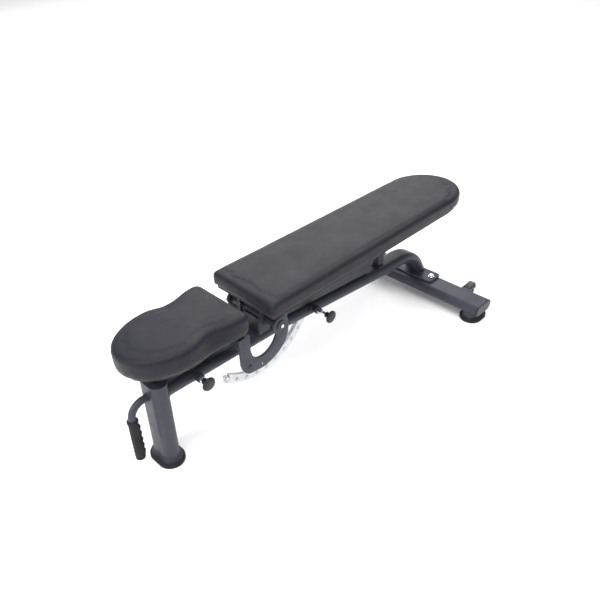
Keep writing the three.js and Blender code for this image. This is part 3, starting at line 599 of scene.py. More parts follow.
def make_vinyl_grain():
    """Embossed leather grain: uneven cells with shallow creases between them."""
    group, given, result = effect("Vinyl grain", [("Scale", 420), ("Crease", 9)], ["Height", "Pore"])
    point = surface_point(group)
    warp = node(group, "ShaderNodeTexNoise", Scale=160.0, Detail=2.0)
    push = node(group, "ShaderNodeVectorMath", operation="MULTIPLY_ADD")
    push.inputs[1].default_value = (0.0016, 0.0016, 0.0016)
    cells = node(group, "ShaderNodeTexVoronoi", feature="DISTANCE_TO_EDGE")
    rise = node(group, "ShaderNodeMapRange", interpolation_type="SMOOTHSTEP")
    rise.inputs["From Max"].default_value = 0.28
    folds = node(group, "ShaderNodeTexNoise", Detail=3.0, Distortion=0.8)
    weigh = node(group, "ShaderNodeMath", operation="MULTIPLY")
    weigh.inputs[1].default_value = 1.6
    both = node(group, "ShaderNodeMath", operation="ADD")
    link = group.links.new
    link(point, warp.inputs["Vector"])
    link(warp.outputs["Color"], push.inputs[0])
    link(point, push.inputs[2])
    link(push.outputs[0], cells.inputs["Vector"])
    link(given.outputs["Scale"], cells.inputs["Scale"])
    link(cells.outputs["Distance"], rise.inputs["Value"])
    link(point, folds.inputs["Vector"])
    link(given.outputs["Crease"], folds.inputs["Scale"])
    link(folds.outputs["Fac"], weigh.inputs[0])
    link(rise.outputs["Result"], both.inputs[0])
    link(weigh.outputs[0], both.inputs[1])
    link(both.outputs[0], result.inputs["Height"])
    link(rise.outputs["Result"], result.inputs["Pore"])
    return group


def make_brushing():
    """Long faint streaks of plated or rolled metal."""
    group, given, result = effect("Brushing", [("Scale", 90)], ["Height"])
    stretch = node(group, "ShaderNodeMapping")
    stretch.inputs["Scale"].default_value = (0.25, 4.0, 4.0)
    streaks = node(group, "ShaderNodeTexNoise", Detail=4.0)
    link = group.links.new
    link(surface_point(group), stretch.inputs["Vector"])
    link(stretch.outputs[0], streaks.inputs["Vector"])
    link(given.outputs["Scale"], streaks.inputs["Scale"])
    link(streaks.outputs["Fac"], result.inputs["Height"])
    return group


EFFECTS = {}


def add_effect(tree, name, **values):
    """Places a shared effect in a material."""
    made = tree.nodes.new("ShaderNodeGroup")
    made.node_tree = EFFECTS[name]
    for key, value in values.items():
        made.inputs[key].default_value = value
    return made


def start_material(name, **sockets):
    """A material whose Principled shader has the given constant values."""
    material = bpy.data.materials.new(name)
    material.use_nodes = True
    tree = material.node_tree
    shader = tree.nodes["Principled BSDF"]
    for key, value in sockets.items():
        shader.inputs[key.replace("_", " ")].default_value = value
    return tree, shader


def two_tone(tree, shader, factor, dark, light):
    """Blends two colours by a factor into the base colour."""
    blend = node(tree, "ShaderNodeMix", data_type="RGBA")
    blend.inputs["A"].default_value = (*dark, 1)
    blend.inputs["B"].default_value = (*light, 1)
    tree.links.new(factor, blend.inputs["Factor"])
    tree.links.new(blend.outputs["Result"], shader.inputs["Base Color"])


def bump(tree, shader, height, distance, strength=1.0):
    """Feeds a height into the shader's normal."""
    raised = node(tree, "ShaderNodeBump", Distance=distance, Strength=strength)
    tree.links.new(height, raised.inputs["Height"])
    tree.links.new(raised.outputs["Normal"], shader.inputs["Normal"])


def shade(colour, amount):
    """A colour made lighter (above 1) or darker (below 1)."""
    return tuple(min(c * amount, 1.0) for c in colour)


def coated(name, colour, rough, peel, distance, variation=0.12, **sockets):
    """Painted or moulded finish: slow colour and gloss drift over a fine pebbled surface."""
    tree, shader = start_material(name, **sockets)
    drift = add_effect(tree, "Mottle", Scale=11, Low=0, High=1)
    gloss = add_effect(tree, "Mottle", Scale=34, Low=rough[0], High=rough[1])
    pebble = add_effect(tree, "Orange peel", Scale=peel)
    two_tone(tree, shader, drift.outputs[0], shade(colour, 1 - variation), shade(colour, 1 + variation))
    tree.links.new(gloss.outputs[0], shader.inputs["Roughness"])
    bump(tree, shader, pebble.outputs[0], distance)


def metal(name, colour, rough, distance):
    """Bright metal with faint streaks."""
    tree, shader = start_material(name, Metallic=1.0)
    gloss = add_effect(tree, "Mottle", Scale=60, Low=rough[0], High=rough[1])
    streaks = add_effect(tree, "Brushing", Scale=90)
    two_tone(tree, shader, streaks.outputs[0], shade(colour, 0.86), shade(colour, 1.1))
    tree.links.new(gloss.outputs[0], shader.inputs["Roughness"])
    bump(tree, shader, streaks.outputs[0], distance)


def pad_vinyl(colour):
    """Dark vinyl: embossed grain, glossier hills, duller creases, slow drift of colour and gloss."""
    tree, shader = start_material("Pad vinyl", Specular_IOR_Level=0.21)
    grain = add_effect(tree, "Vinyl grain", Scale=430, Crease=9)
    drift = add_effect(tree, "Mottle", Scale=6, Low=0, High=1)
    gloss = add_effect(tree, "Mottle", Scale=16, Low=0.38, High=0.5)
    dull = node(tree, "ShaderNodeMath", operation="MULTIPLY_ADD")
    dull.inputs[1].default_value = -0.08
    tree.links.new(grain.outputs["Pore"], dull.inputs[0])
    tree.links.new(gloss.outputs[0], dull.inputs[2])
    tree.links.new(dull.outputs[0], shader.inputs["Roughness"])
    two_tone(tree, shader, drift.outputs[0], shade(colour, 0.84), shade(colour, 1.18))
    bump(tree, shader, grain.outputs["Height"], 0.00022)


def pad_board(colour):
    """Black-stained plywood with its grain along the bench."""
    tree, shader = start_material("Pad board")
    grain = node(
        tree, "ShaderNodeTexWave", wave_type="BANDS", bands_direction="Y",
        Scale=24.0, Distortion=7.0, Detail=3.0,
    )
    stretch = node(tree, "ShaderNodeMapping")
    stretch.inputs["Scale"].default_value = (0.12, 1.0, 1.0)
    gloss = add_effect(tree, "Mottle", Scale=40, Low=0.62, High=0.78)
    tree.links.new(surface_point(tree), stretch.inputs["Vector"])
    tree.links.new(stretch.outputs[0], grain.inputs["Vector"])
    two_tone(tree, shader, grain.outputs["Fac"], shade(colour, 0.6), shade(colour, 1.3))
    tree.links.new(gloss.outputs[0], shader.inputs["Roughness"])
    bump(tree, shader, grain.outputs["Fac"], 0.0002)


def make_finishes():
    """Makes the shared effects and every finish."""
    EFFECTS.update({
        "Mottle": make_mottle(),
        "Orange peel": make_orange_peel(),
        "Vinyl grain": make_vinyl_grain(),
        "Brushing": make_brushing(),
    })
    tone = settings().colours
    coated("Powder coat", tone.paint, (0.40, 0.52), 520, 0.00012, Metallic=0.1, Specular_IOR_Level=0.36)
    coated("Silver paint", tone.arc, (0.36, 0.46), 480, 0.0001, 0.05, Metallic=0.15, Specular_IOR_Level=0.6)
    coated("Moulded rubber", tone.rubber, (0.62, 0.8), 700, 0.00025, 0.2, Specular_IOR_Level=0.3)
    coated("Black plastic", tone.rubber, (0.34, 0.5), 560, 0.00012, 0.15, Specular_IOR_Level=0.4)
    coated("Wheel plastic", tone.wheel, (0.45, 0.6), 500, 0.00018, 0.12)
    metal("Zinc plate", (0.76, 0.77, 0.8), (0.2, 0.36), 0.00003)
    pad_vinyl(tone.cover)
    pad_board((0.03, 0.027, 0.025))


# ------------------------------------------------------------------ front leg, feet and handle


def base_plate(bm, section, cx, cy, across):
    """Steel base plate, inset in its rubber shoe."""
    levels = [(-6.6, SOLE_TOP), (-6, SOLE_TOP + 0.6), (-6, PLATE_TOP - 1), (-7, PLATE_TOP)]
    standing(bm, section, levels, cx, cy, across)


def foot_section(node_name, across):
    """Long and short side of a foot's flat oval."""
    along_x, along_y, _ = size_of(node_name)
    return (along_y, along_x) if across else (along_x, along_y)


def make_leg():
    """Leg with its welded base plate, and the cap plate on top."""
    size = settings().frame
    oval = (size.leg_long, size.leg_short)
    bm = bmesh.new()
    base_plate(bm, foot_section("front_foot", True), 0, 0, True)
    weld = [(4.5, -0.5), (4.2, 0.6), (2.6, 2.4), (1.0, 4.6), (0.2, 7), (0, 9), (0, 60)]
    levels = [(growth, PLATE_TOP + up) for growth, up in weld]
    standing(bm, oval, levels + [(0, LEG_TOP - 60), (0, LEG_TOP)], across=True)
    finish_piece("leg_post", bm, "frame", "Powder coat", ["front_leg"])
    bm = bmesh.new()
    low = LEG_TOP + 0.3
    cap = [(-0.4, -0.3), (1.2, 0.2), (1.5, 1.2), (1.5, 3.6), (0.9, 4.7), (-0.4, 5)]
    standing(bm, oval, [(growth, low + up) for growth, up in cap], across=True)
    finish_piece("leg_top_plate", bm, "frame", "Powder coat", ["leg_cap"])


def shoe(name, node_name, across):
    """Rubber shoe: rounded sole, step, and a thin raised lip round the base plate."""
    cx, cy, _ = from_leg(node_name)
    step = SOLE_TOP - 0.3
    levels = [(-3.5, 0), (-1, 0.4), (0, 2), (-0.2, 5), (0, 8), (0, step - 2), (-0.8, step - 0.5),
              (-2.6, step), (-3.6, step + 0.8), (-4, step + 2), (-4, FOOT_TOP - 0.6), (-4.5, FOOT_TOP),
              (-5.2, FOOT_TOP), (-5.7, FOOT_TOP - 0.5), (-5.7, step + 0.1)]
    bm = bmesh.new()
    standing(bm, foot_section(node_name, across), levels, cx, cy, across)
    finish_piece(name, bm, "frame", "Moulded rubber", [node_name])


def make_feet():
    """Rubber shoes and the risers that carry the rear beam."""
    shoe("front_shoe", "front_foot", True)
    levels = [(3, PLATE_TOP - 0.5), (1.4, PLATE_TOP + 1.2), (0, PLATE_TOP + 4), (0, BEAM_Z - 8)]
    for side in SIDES:
        node_name = f"rear_foot_{side}"
        shoe(f"rear_shoe_{side}", node_name, False)
        long, short = foot_section(node_name, False)
        cx, cy, _ = from_leg(node_name)
        bm = bmesh.new()
        base_plate(bm, (long, short), cx, cy, False)
        standing(bm, (long - 20, short - 20), levels, cx, cy)
        finish_piece(f"rear_stand_{side}", bm, "frame", "Powder coat", [f"rear_riser_{side}"])


def make_handle():
    """Bent carry handle with a moulded finger grip and its collar."""
    low, top = span("handle_grip", 2)
    bm = bmesh.new()
    line = bent([(-14, HANDLE_Z), (GRIP_X, HANDLE_Z, 44), (GRIP_X, low + 8)])
    sweep(bm, line, disc(HANDLE_RADIUS, count=40))
    finish_piece("handle_tube", bm, "frame", "Powder coat", ["carry_handle"])
    bm = bmesh.new()
    rings = []
    fingers = 5
    slices = 120
    flutes = 24
    length = top - low
    for k in range(slices + 1):
        part = k / slices
        z = low + length * part
        end = min(part, 1 - part) * length
        radius = 14.6 - (2.6 * (1 - end / 3) ** 2 if end < 3 else 0)
        saw = (part * length - 10) / (length - 22) * fingers
        inside = 0 <= saw <= fingers
        rise = (1 - abs((saw % 1) * 2 - 1)) ** 0.7 * 5.0 if inside else 0.0
        ring = []
        for u, v in disc(1, count=48):
            lean = max(0.0, u) ** 1.5
            groove = 0.25 * math.cos(flutes * math.atan2(v, u)) if inside and u < 0.2 else 0.0
            ring.append(place(GRIP_X + u * (radius + groove) + lean * rise, v * (radius + groove), z))
        rings.append(ring)
    loft(bm, rings)
    collar = [(0, 0), (14.6, 0), (16.2, 1.2), (16.5, 3), (16.5, 6.5), (15.6, 8.6), (13.4, 9.6), (11.1, 9.8),
              (11.1, 0.3), (0, 0.2)]
    turned(bm, collar, (GRIP_X, 0, top - 1), "z")
    finish_piece("finger_grip", bm, "frame", "Moulded rubber", ["handle_grip"], sharp=50)


# ------------------------------------------------------------------ main tube and rear beam


def tube_height(x):
    """Height of the main tube's centre line ahead of the arch."""
    (_, start_z), (first_x, first_z), (second_x, second_z) = TUBE_BENDS
    if x < first_x:
        return start_z + (first_z - start_z) * x / first_x
    return first_z + (second_z - first_z) * (x - first_x) / (second_x - first_x)


def arch_x(z):
    """Where the centre line of the arch's rear leg is at a height."""
    return ARCH_CORNER[0] + (ARCH_CORNER[1] - z) / ARCH_TAN


def rail_low(x):
    """Height of the back rail's lower face."""
    front, end = (tube_height(at) + gap for at, gap in zip(RAIL_X, RAIL_GAP))
    return front + (end - front) * (x - RAIL_X[0]) / (RAIL_X[1] - RAIL_X[0])


def carve(piece, low, high):
    """Cuts a box, given by two corners in millimetres, out of a piece."""
    bm = bmesh.new()
    bmesh.ops.create_cube(bm, size=1)
    a, b = place(*low), place(*high)
    for v in bm.verts:
        v.co = Vector([a[k] if v.co[k] < 0 else b[k] for k in range(3)])
    mesh = bpy.data.meshes.new("cutter")
    bm.to_mesh(mesh)
    bm.free()
    cutter = bpy.data.objects.new("cutter", mesh)
    bpy.context.scene.collection.objects.link(cutter)
    cut = piece.modifiers.new("slot", "BOOLEAN")
    cut.operation = "DIFFERENCE"
    cut.solver = "EXACT"
    cut.object = cutter
    bake_modifiers(piece)
    bpy.data.objects.remove(cutter)
    bpy.data.meshes.remove(mesh)


def make_main_tube():
    """Flat-oval main tube with its arch and two lock slots, and the gusset under the arch."""
    size = settings().frame
    end = FLANGE_TOP - 3
    corners = [(10, tube_height(10)), (*TUBE_BENDS[1], 600), (*TUBE_BENDS[2], 500), (*ARCH_CORNER, 150)]
    line = bent(corners + [(arch_x(end), end)], 2.5)
    bm = bmesh.new()
    sweep(bm, line, flat_oval(size.tube_wide, size.tube_high, step=7.5))
    tube = finish_piece("spine_tube", bm, "frame", "Powder coat", ["main_tube"])
    for pin, before, after, half in (("back_pin", 38, 26, 10.5), ("seat_pin", 18, 24, 7)):
        x, _, z = from_leg(pin)
        carve(tube, (x - before, -half, z - 60), (x + after, half, z + 60))

    low = FLANGE_TOP + 0.2
    heel = arch_x(low) - 21
    tip = (ARCH_CORNER[0] - 62, ARCH_CORNER[1] - 24)
    web = Outline(heel - 28, low).line(heel + 8, low).line(heel + 8, low + 12).line(heel - 18, low + 46)
    web.line(tip[0] + 24, tip[1] - 1).line(*tip).curve((heel - 44, tip[1] - 26), (heel - 28, low))
    bm = bmesh.new()
    plate(bm, web.done(), -3, 3, "y")
    finish_piece("arch_web", bm, "frame", "Powder coat", ["arch_gusset"])


def make_rear_beam():
    """Rear cross beam, its end caps, the flange under the arch and the flange bolts."""
    wide, _, tall = size_of("rear_beam")
    half = reach("rear_beam", 1, 1)
    section = flat_oval(wide, tall, step=5)
    stations = (-half, -half / 2, half / 2, half)
    bm = bmesh.new()
    loft(bm, [[place(BEAM_X + u, y, BEAM_Z + v) for u, v in section] for y in stations])
    finish_piece("cross_beam", bm, "frame", "Powder coat", ["rear_beam"])
    cap = ((-3, -1), (0.2, 0.2), (0.5, 1), (0.5, 4), (-0.6, 5.4), (-3, 6.1), (-8, 6.3))
    for side, sign in SIDES.items():
        bm = bmesh.new()
        rings = []
        for growth, y in cap:
            oval = flat_oval(wide + 2 * growth, tall + 2 * growth, step=6)
            rings.append([place(BEAM_X + u, sign * (half + 0.2 + y), BEAM_Z + v) for u, v in oval])
        loft(bm, rings)
        finish_piece(f"beam_plug_{side}", bm, "frame", "Black plastic", [f"beam_cap_{side}"])
    x0, x1 = span("rear_flange", 0)
    z0, z1 = span("rear_flange", 2)
    y1 = reach("rear_flange", 1, 1)
    bm = bmesh.new()
    plate(bm, rounded_box(x0, x1, -y1, y1, 16, 6), z0, z1, "z", edge=1.2)
    finish_piece("arch_flange", bm, "frame", "Powder coat", ["rear_flange"])
    for side in SIDES:
        x, y, _ = from_leg(f"flange_bolt_{side}")
        bm = bmesh.new()
        hex_bolt(bm, (x, y, FLANGE_TOP), "z", 1, 9.5, 6.6, washer=12)
        finish_piece(f"flange_screw_{side}", bm, "frame", "Zinc plate", [f"flange_bolt_{side}"])


def make_wheels():
    """Transport wheels with a grooved tread and a dished hub."""
    bore = 5.4
    bodies = {"left": "wheel_l", "right": "wheel_r"}
    for side in SIDES:
        _, wide, tall = size_of(f"wheel_{side}")
        face, radius = -wide / 2, tall / 2
        outer = [(bore, face), (10.5, face), (11.5, face + 0.6), (12.5, face + 3), (radius - 8, face + 3.4),
                 (radius - 6.6, face + 0.6), (radius - 5.4, face), (radius - 2, face + 0.4),
                 (radius - 0.4, face + 2.2), (radius, face + 4.5), (radius, -3), (radius - 1, -2.4)]
        mirrored = outward(reversed(outer), -1)
        bm = bmesh.new()
        turned(bm, outer + mirrored + [(bore, face)], from_leg(f"wheel_{side}"), "y", count=56)
        bmesh.ops.remove_doubles(bm, verts=bm.verts, dist=1e-7)
        finish_piece(f"roller_{side}", bm, bodies[side], "Wheel plastic", [f"wheel_{side}"])


# ------------------------------------------------------------------ pivot, back frame and lock arc


def make_pivot():
    """Bolt heads and washers on both ends of the pivot shaft."""
    washer = [(0, 0), (15.5, 0), (16.4, 0.6), (16.4, 1.6), (15.6, 2.3), (0, 2.3)]
    for side, sign in SIDES.items():
        face = min(abs(y) for y in span(f"pivot_bolt_{side}", 1))
        bm = bmesh.new()
        turned(bm, outward(washer, sign), (PIVOT_X, sign * face, PIVOT_Z), "y")
        finish_piece(f"pivot_washer_{side}", bm, "frame", "Powder coat", [f"pivot_bolt_{side}"])
        bm = bmesh.new()
        hex_bolt(bm, (PIVOT_X, sign * (face + WASHER_HIGH), PIVOT_Z), "y", sign, 7, 4.6)
        finish_piece(f"pivot_screw_{side}", bm, "frame", "Zinc plate")


def make_back_frame():
    """Sloping back rail with its end plug, the two hinge ears and the pad screws."""
    high = 50
    x0, x1 = span("back_rail", 0)
    bm = bmesh.new()
    rail = [(x0, rail_low(x0)), (x1, rail_low(x1)), (x1, rail_low(x1) + high), (x0, rail_low(x0) + high)]
    block(bm, rail, high)
    soften(bm, 4.0)
    finish_piece("back_spar", bm, "backrest", "Powder coat", ["back_rail"])
    bm = bmesh.new()
    under, over = rail_low(x1) + 1, rail_low(x1) + high - 1
    block(bm, [(x1 - 1, under), (x1 + 2.4, under), (x1 + 2.4, over), (x1 - 1, over)], high - 2)
    soften(bm, 1.4)
    finish_piece("back_spar_plug", bm, "backrest", "Black plastic")
    top = reach("hinge_ear_left", 2, 1)
    rear = reach("hinge_tube", 0, 1) - 2
    ear = Outline(PIVOT_X - 34, top).arc(PIVOT_X, PIVOT_Z, 27, 150, 285)
    ear.line(rear, reach("hinge_tube", 2, 0) + 2).line(rear, top)
    for side in SIDES:
        a, b = span(f"hinge_ear_{side}", 1)
        bm = bmesh.new()
        plate(bm, ear.done(), a, b, "y", [disc(SHAFT_HOLE, PIVOT_X, PIVOT_Z)])
        finish_piece(f"hinge_cheek_{side}", bm, "backrest", "Powder coat", [f"hinge_ear_{side}"])
    for end in ("front", "rear"):
        x, _, _ = from_leg(f"pad_bracket_{end}")
        under = reach(f"pad_bracket_{end}", 2, 1) - 5
        for kx in (-1, 1):
            for ky in (-1, 1):
                bm = bmesh.new()
                hex_bolt(bm, (x + kx * 22, ky * 25, under), "z", -1, 6, 4, washer=8.5)
                finish_piece(f"pad_screw_{end}_{kx + 1}{ky + 1}", bm, "backrest", "Zinc plate")


def round_pivot(radius, degrees):
    """Point (x, z) on a circle about the pivot."""
    turn = math.radians(degrees)
    return PIVOT_X + radius * math.cos(turn), PIVOT_Z + radius * math.sin(turn)


def make_lock_arc():
    """The pair of drilled arc plates."""
    radius, band, step, hole_count, hole_radius = 233, 30, 10.7, 11, 6.25
    lock = -21
    last = -15
    first = lock - step * 10 - 1.8
    outline = Outline(*round_pivot(radius + band / 2, first))
    outline.arc(PIVOT_X, PIVOT_Z, radius + band / 2, first, last, 1.5)
    outline.arc(PIVOT_X, PIVOT_Z, radius - band / 2, last, first, 1.5)
    outline.arc(*round_pivot(radius, first), band / 2, first + 180, first, 10)
    holes = [disc(hole_radius, *round_pivot(radius, lock - step * k), 28) for k in range(hole_count)]
    for side in SIDES:
        a, b = span(f"arc_plate_{side}", 1)
        bm = bmesh.new()
        plate(bm, outline.done(), a, b, "y", holes, edge=0.5)
        finish_piece(f"lock_arc_{side}", bm, "backrest", "Silver paint", [f"arc_plate_{side}"])


# ------------------------------------------------------------------ seat frame, pins and stops


def make_seat_frame():
    """The hooked side brackets of the seat, with their bolts and rivets."""

    def at(dx, dz):
        return PIVOT_X + dx, PIVOT_Z + dz

    top = reach("seat_bracket_left", 2, 1) - PIVOT_Z
    hook = Outline(*at(-124.5, top)).line(*at(-166, top)).line(*at(-163, -62))
    hook.curve(at(-156, -106), at(-122, -109)).line(*at(-90, -113))
    hook.curve(at(-40, -118), at(26, -84), at(31, -26), steps=24)
    hook.arc(PIVOT_X, PIVOT_Z, 31, -10, 170).curve(at(-24, -10), at(-20, -22))
    hook.curve(at(-28, -52), at(-58, -70), at(-82, -70), steps=20)
    hook.curve(at(-108, -70), at(-124, -48), at(-124.5, -18), steps=20)
    rivet = [(0, 0), (2.2, 0), (2.2, 0.8), (1.6, 1.4), (0, 1.7)]
    for side, sign in SIDES.items():
        a, b = span(f"seat_bracket_{side}", 1)
        bm = bmesh.new()
        plate(bm, hook.done(), a, b, "y", [disc(SHAFT_HOLE, PIVOT_X, PIVOT_Z)], edge=0.9)
        finish_piece(f"seat_hook_{side}", bm, "seat", "Powder coat", [f"seat_bracket_{side}"])
        face = sign * max(abs(a), abs(b))
        bm = bmesh.new()
        hex_bolt(bm, (PIVOT_X - 130, face, PIVOT_Z - 84), "y", sign, 8, 3.6)
        finish_piece(f"hook_screw_{side}", bm, "seat", "Powder coat", [f"bracket_bolt_{side}"])
        bm = bmesh.new()
        turned(bm, outward(rivet, sign), (PIVOT_X - 84, face, PIVOT_Z - 97), "y", 20)
        finish_piece(f"hook_rivet_{side}", bm, "seat", "Zinc plate")


def make_pins():
    """Pull pins: welded boss, plated ferrule and a thin round knob on a waisted neck."""
    rim = [(0, -27), (15.5, -26.8), (17.6, -26), (20.6, -24.4), (21.9, -22.4), (22, -20.6), (21.4, -19),
           (19.4, -17.6), (14, -15.8), (11.4, -13.6), (9.8, -10.6), (9.2, -7), (9.6, -2.6), (10, -0.8),
           (9.2, 0), (5.9, 0), (5.8, -12), (0, -12.2)]
    for which in ("seat", "back"):
        x, _, z = from_leg(f"{which}_pin")
        boss = reach(f"{which}_pin_boss", 1, 0)
        ferrule, inner = span(f"{which}_pin_ferrule", 1)
        knob = reach(f"{which}_pin_knob", 1, 1)
        bm = bmesh.new()
        socket = [(0, -30), (13.5, -30), (13.5, boss + 1.2), (12.6, boss), (9.8, boss), (9.4, boss + 1.4),
                  (6, boss + 1.6), (0, boss + 1.6)]
        turned(bm, socket, (x, 0, z), "y")
        finish_piece(f"{which}_pin_socket", bm, "frame", "Powder coat", [f"{which}_pin_boss"])
        bm = bmesh.new()
        collar = [(0, inner + 1), (9.4, inner + 1), (9.4, ferrule + 3.8), (8.4, ferrule + 3.0),
                  (7.8, ferrule + 2.8), (7.8, ferrule + 0.6), (7.0, ferrule), (5.7, ferrule), (5.6, inner),
                  (0, inner)]
        turned(bm, collar, (x, 0, z), "y", count=36)
        finish_piece(f"{which}_pin_collar", bm, "frame", "Zinc plate", [f"{which}_pin_ferrule"])
        bm = bmesh.new()
        turned(bm, [(r, knob + a) for r, a in rim], (x, 0, z), "y", count=56)
        finish_piece(f"{which}_pull_knob", bm, f"{which}_pull_pin", "Black plastic", [f"{which}_pin_knob"])


def make_stops():
    """Post that carries the lowered back, with its foot plate and the two rubber buffers."""
    x = from_leg("back_stop_post")[0]
    deck = tube_height(x) + 21
    top = reach("back_stop_post", 2, 1)
    bm = bmesh.new()
    section = rounded_box(-16, 16, -16, 16, 5)
    loft(bm, [[place(x + u, v, z) for u, v in section] for z in (deck - 8, top - 1, top)])
    (first_x, first_z), (second_x, second_z) = TUBE_BENDS[1:]
    slope = (second_z - first_z) / (second_x - first_x)
    foot = rounded_box(-25, 25, -25, 25, 7)
    levels = ((1, -7), (1, 3.4), (0.96, 4.6), (0.7, 5))
    loft(bm, [[place(x + u * s, v * s, deck + slope * u + up) for u, v in foot] for s, up in levels])
    finish_piece("rest_post", bm, "frame", "Powder coat", ["back_stop_post"])
    for name, node_name in (("rest_buffer", "back_stop_bumper"), ("seat_buffer", "seat_bumper")):
        wide, _, high = size_of(node_name)
        radius = wide / 2
        bm = bmesh.new()
        buffer = [(0, 0), (radius - 1.5, 0), (radius, 1.5), (radius - 0.6, high * 0.5), (radius, high - 2),
                  (radius - 2, high - 0.2), (0, high - 0.2)]
        turned(bm, buffer, (from_leg(node_name)[0], 0, reach(node_name, 2, 0)), "z")
        finish_piece(name, bm, "frame", "Moulded rubber", [node_name])


def make_welds():
    """Weld beads where tubes and sockets meet."""
    loops = {}
    loops["handle"] = ([place(-27.8, u, HANDLE_Z + v) for u, v in disc(11.8, count=48)], 1.9, 16)
    for which, face in (("seat", -38.6), ("back", -38.2)):
        x, _, z = from_leg(f"{which}_pin")
        loops[f"{which}_pin"] = ([place(x + u, face, z + v) for u, v in disc(13.8, count=48)], 1.6, 18)
    low = FLANGE_TOP + 0.4
    slant = 1.155  # a level cut through the sloping tube is this much longer than the tube is deep
    loops["arch"] = (
        [place(arch_x(low) + v * slant, u, low) for u, v in flat_oval(78.6, 42.6, step=6)], 2.4, 40
    )
    size = settings().frame
    rear = size.leg_short / 2
    flat = size.leg_long / 2 - rear
    centre = tube_height(rear)
    joint = []
    for u, v in flat_oval(size.tube_wide + 1, size.tube_high + 1, step=6):
        over = max(0.0, abs(u) - flat)
        joint.append(place(math.sqrt(max(rear**2 - over**2, 0)) + 0.2, u, centre + v))
    loops["leg"] = (joint, 2.2, 36)
    for name, (loop, radius, ripples) in loops.items():
        bm = bmesh.new()
        bead(bm, loop, radius, ripples)
        finish_piece(f"weld_{name}", bm, "frame", "Powder coat")


# ------------------------------------------------------------------ pads


BACK_ROUND = 158  # length of the back pad's rounded head end
SEAT_ROUND = 160  # length of the seat pad's rounded front
SEAT_HALF = 120  # half the seat pad's width
WAIST_HALF = 117  # half the width of the seat's waist at the pad's lower face
WAIST_DEPTH = 14  # how much further in the waist goes higher up
HELD_HIGH = 0.003  # the cover is held up to this height above the pad's lower face, in metres
CLOTH_STEPS = 20


def back_outline(inset, _rise=1.0):
    """Plan of the back pad: square front corners, half-elliptical head end."""
    front, tip = span("back_pad", 0)
    half = reach("back_pad", 1, 1) - inset
    corner = max(4, 17 - inset)
    centre = tip - BACK_ROUND
    outline = Outline(centre, -half)
    outline.arc(centre, 0, BACK_ROUND - inset, -90, 90, 4, half)
    outline.arc(front + inset + corner, half - corner, corner, 90, 180, 15)
    outline.arc(front + inset + corner, -half + corner, corner, 180, 270, 15)
    return outline.done()


def seat_outline(inset, rise=1.0):
    """Plan of the seat pad: rounded front, waist that fades towards the floor of the pad, square rear."""
    tip, rear = reach("seat_pad", 0, 0), reach("seat_pad", 0, 1) - inset
    half, waist = SEAT_HALF - inset, WAIST_HALF - WAIST_DEPTH * rise - inset
    corner = max(4, 22 - inset)
    widest = tip + SEAT_ROUND
    flare = rear - corner - 22
    outline = Outline(widest, -half)
    outline.curve((widest + 34, -half), (flare - 118, -waist), (flare - 86, -waist))
    outline.curve((flare - 44, -waist), (flare - 24, -half - 1), (flare + 22, -half - 1))
    outline.arc(rear - corner, -half - 1 + corner, corner, -90, 0, 15)
    outline.arc(rear - corner, half + 1 - corner, corner, 0, 90, 15)
    outline.curve((flare - 24, half + 1), (flare - 44, waist), (flare - 86, waist))
    outline.curve((flare - 118, waist), (widest + 34, half), (widest, half))
    outline.arc(widest, 0, SEAT_ROUND - inset, 90, 270, 4, half)
    return outline.done()


def foam(name, outline, levels):
    """Closed foam block from plan outlines (inset, height)."""
    bm = bmesh.new()
    rings = []
    low, high = levels[0][1], levels[-1][1]
    for inset, z in levels:
        rise = min((z - low) / (high - low) * 1.25, 1.0)
        rings.append([place(x, y, z) for x, y in outline(inset, rise)])
    count = min(len(r) for r in rings)
    if any(len(r) != count for r in rings):
        raise RuntimeError(f"{name}: outlines of different lengths")
    loft(bm, rings)
    bmesh.ops.triangulate(bm, faces=[f for f in bm.faces if len(f.verts) > 4])
    bmesh.ops.recalc_face_normals(bm, faces=bm.faces)
    mesh = bpy.data.meshes.new(name)
    bm.to_mesh(mesh)
    bm.free()
    piece = bpy.data.objects.new(name, mesh)
    bpy.context.scene.collection.objects.link(piece)
    return piece


def stuff(piece, floor):
    """Blows the cover up over its foam: cloth under pressure, held along its lower face."""
    shape = settings().pads
    remesh = piece.modifiers.new("cells", "REMESH")
    remesh.mode = "VOXEL"
    remesh.voxel_size = shape.voxel
    bake_modifiers(piece)
    held = piece.vertex_groups.new(name="held")
    held.add([v.index for v in piece.data.vertices if v.co.z < floor + HELD_HIGH], 1.0, "REPLACE")
    before = [(v.co.copy(), v.normal.copy()) for v in piece.data.vertices]
    cloth = piece.modifiers.new("cover", "CLOTH")
    cloth.settings.quality = 5
    cloth.settings.tension_stiffness = 60
    cloth.settings.compression_stiffness = 60
    cloth.settings.shear_stiffness = 30
    cloth.settings.bending_stiffness = 12
    cloth.settings.use_pressure = True
    cloth.settings.uniform_pressure_force = shape.pressure
    cloth.settings.effector_weights.gravity = 0
    cloth.settings.vertex_group_mass = "held"
    cloth.collision_settings.use_collision = False
    cloth.point_cache.frame_start = 1
    cloth.point_cache.frame_end = CLOTH_STEPS
    scene = bpy.context.scene
    for step in range(1, CLOTH_STEPS + 1):
        scene.frame_set(step)
    bake_modifiers(piece)
    scene.frame_set(1)
    for v, (start, out) in zip(piece.data.vertices, before):
        if start.z >= floor + HELD_HIGH:
            v.co = start + out * min(max((v.co - start).dot(out), shape.swell * 0.62), shape.swell)


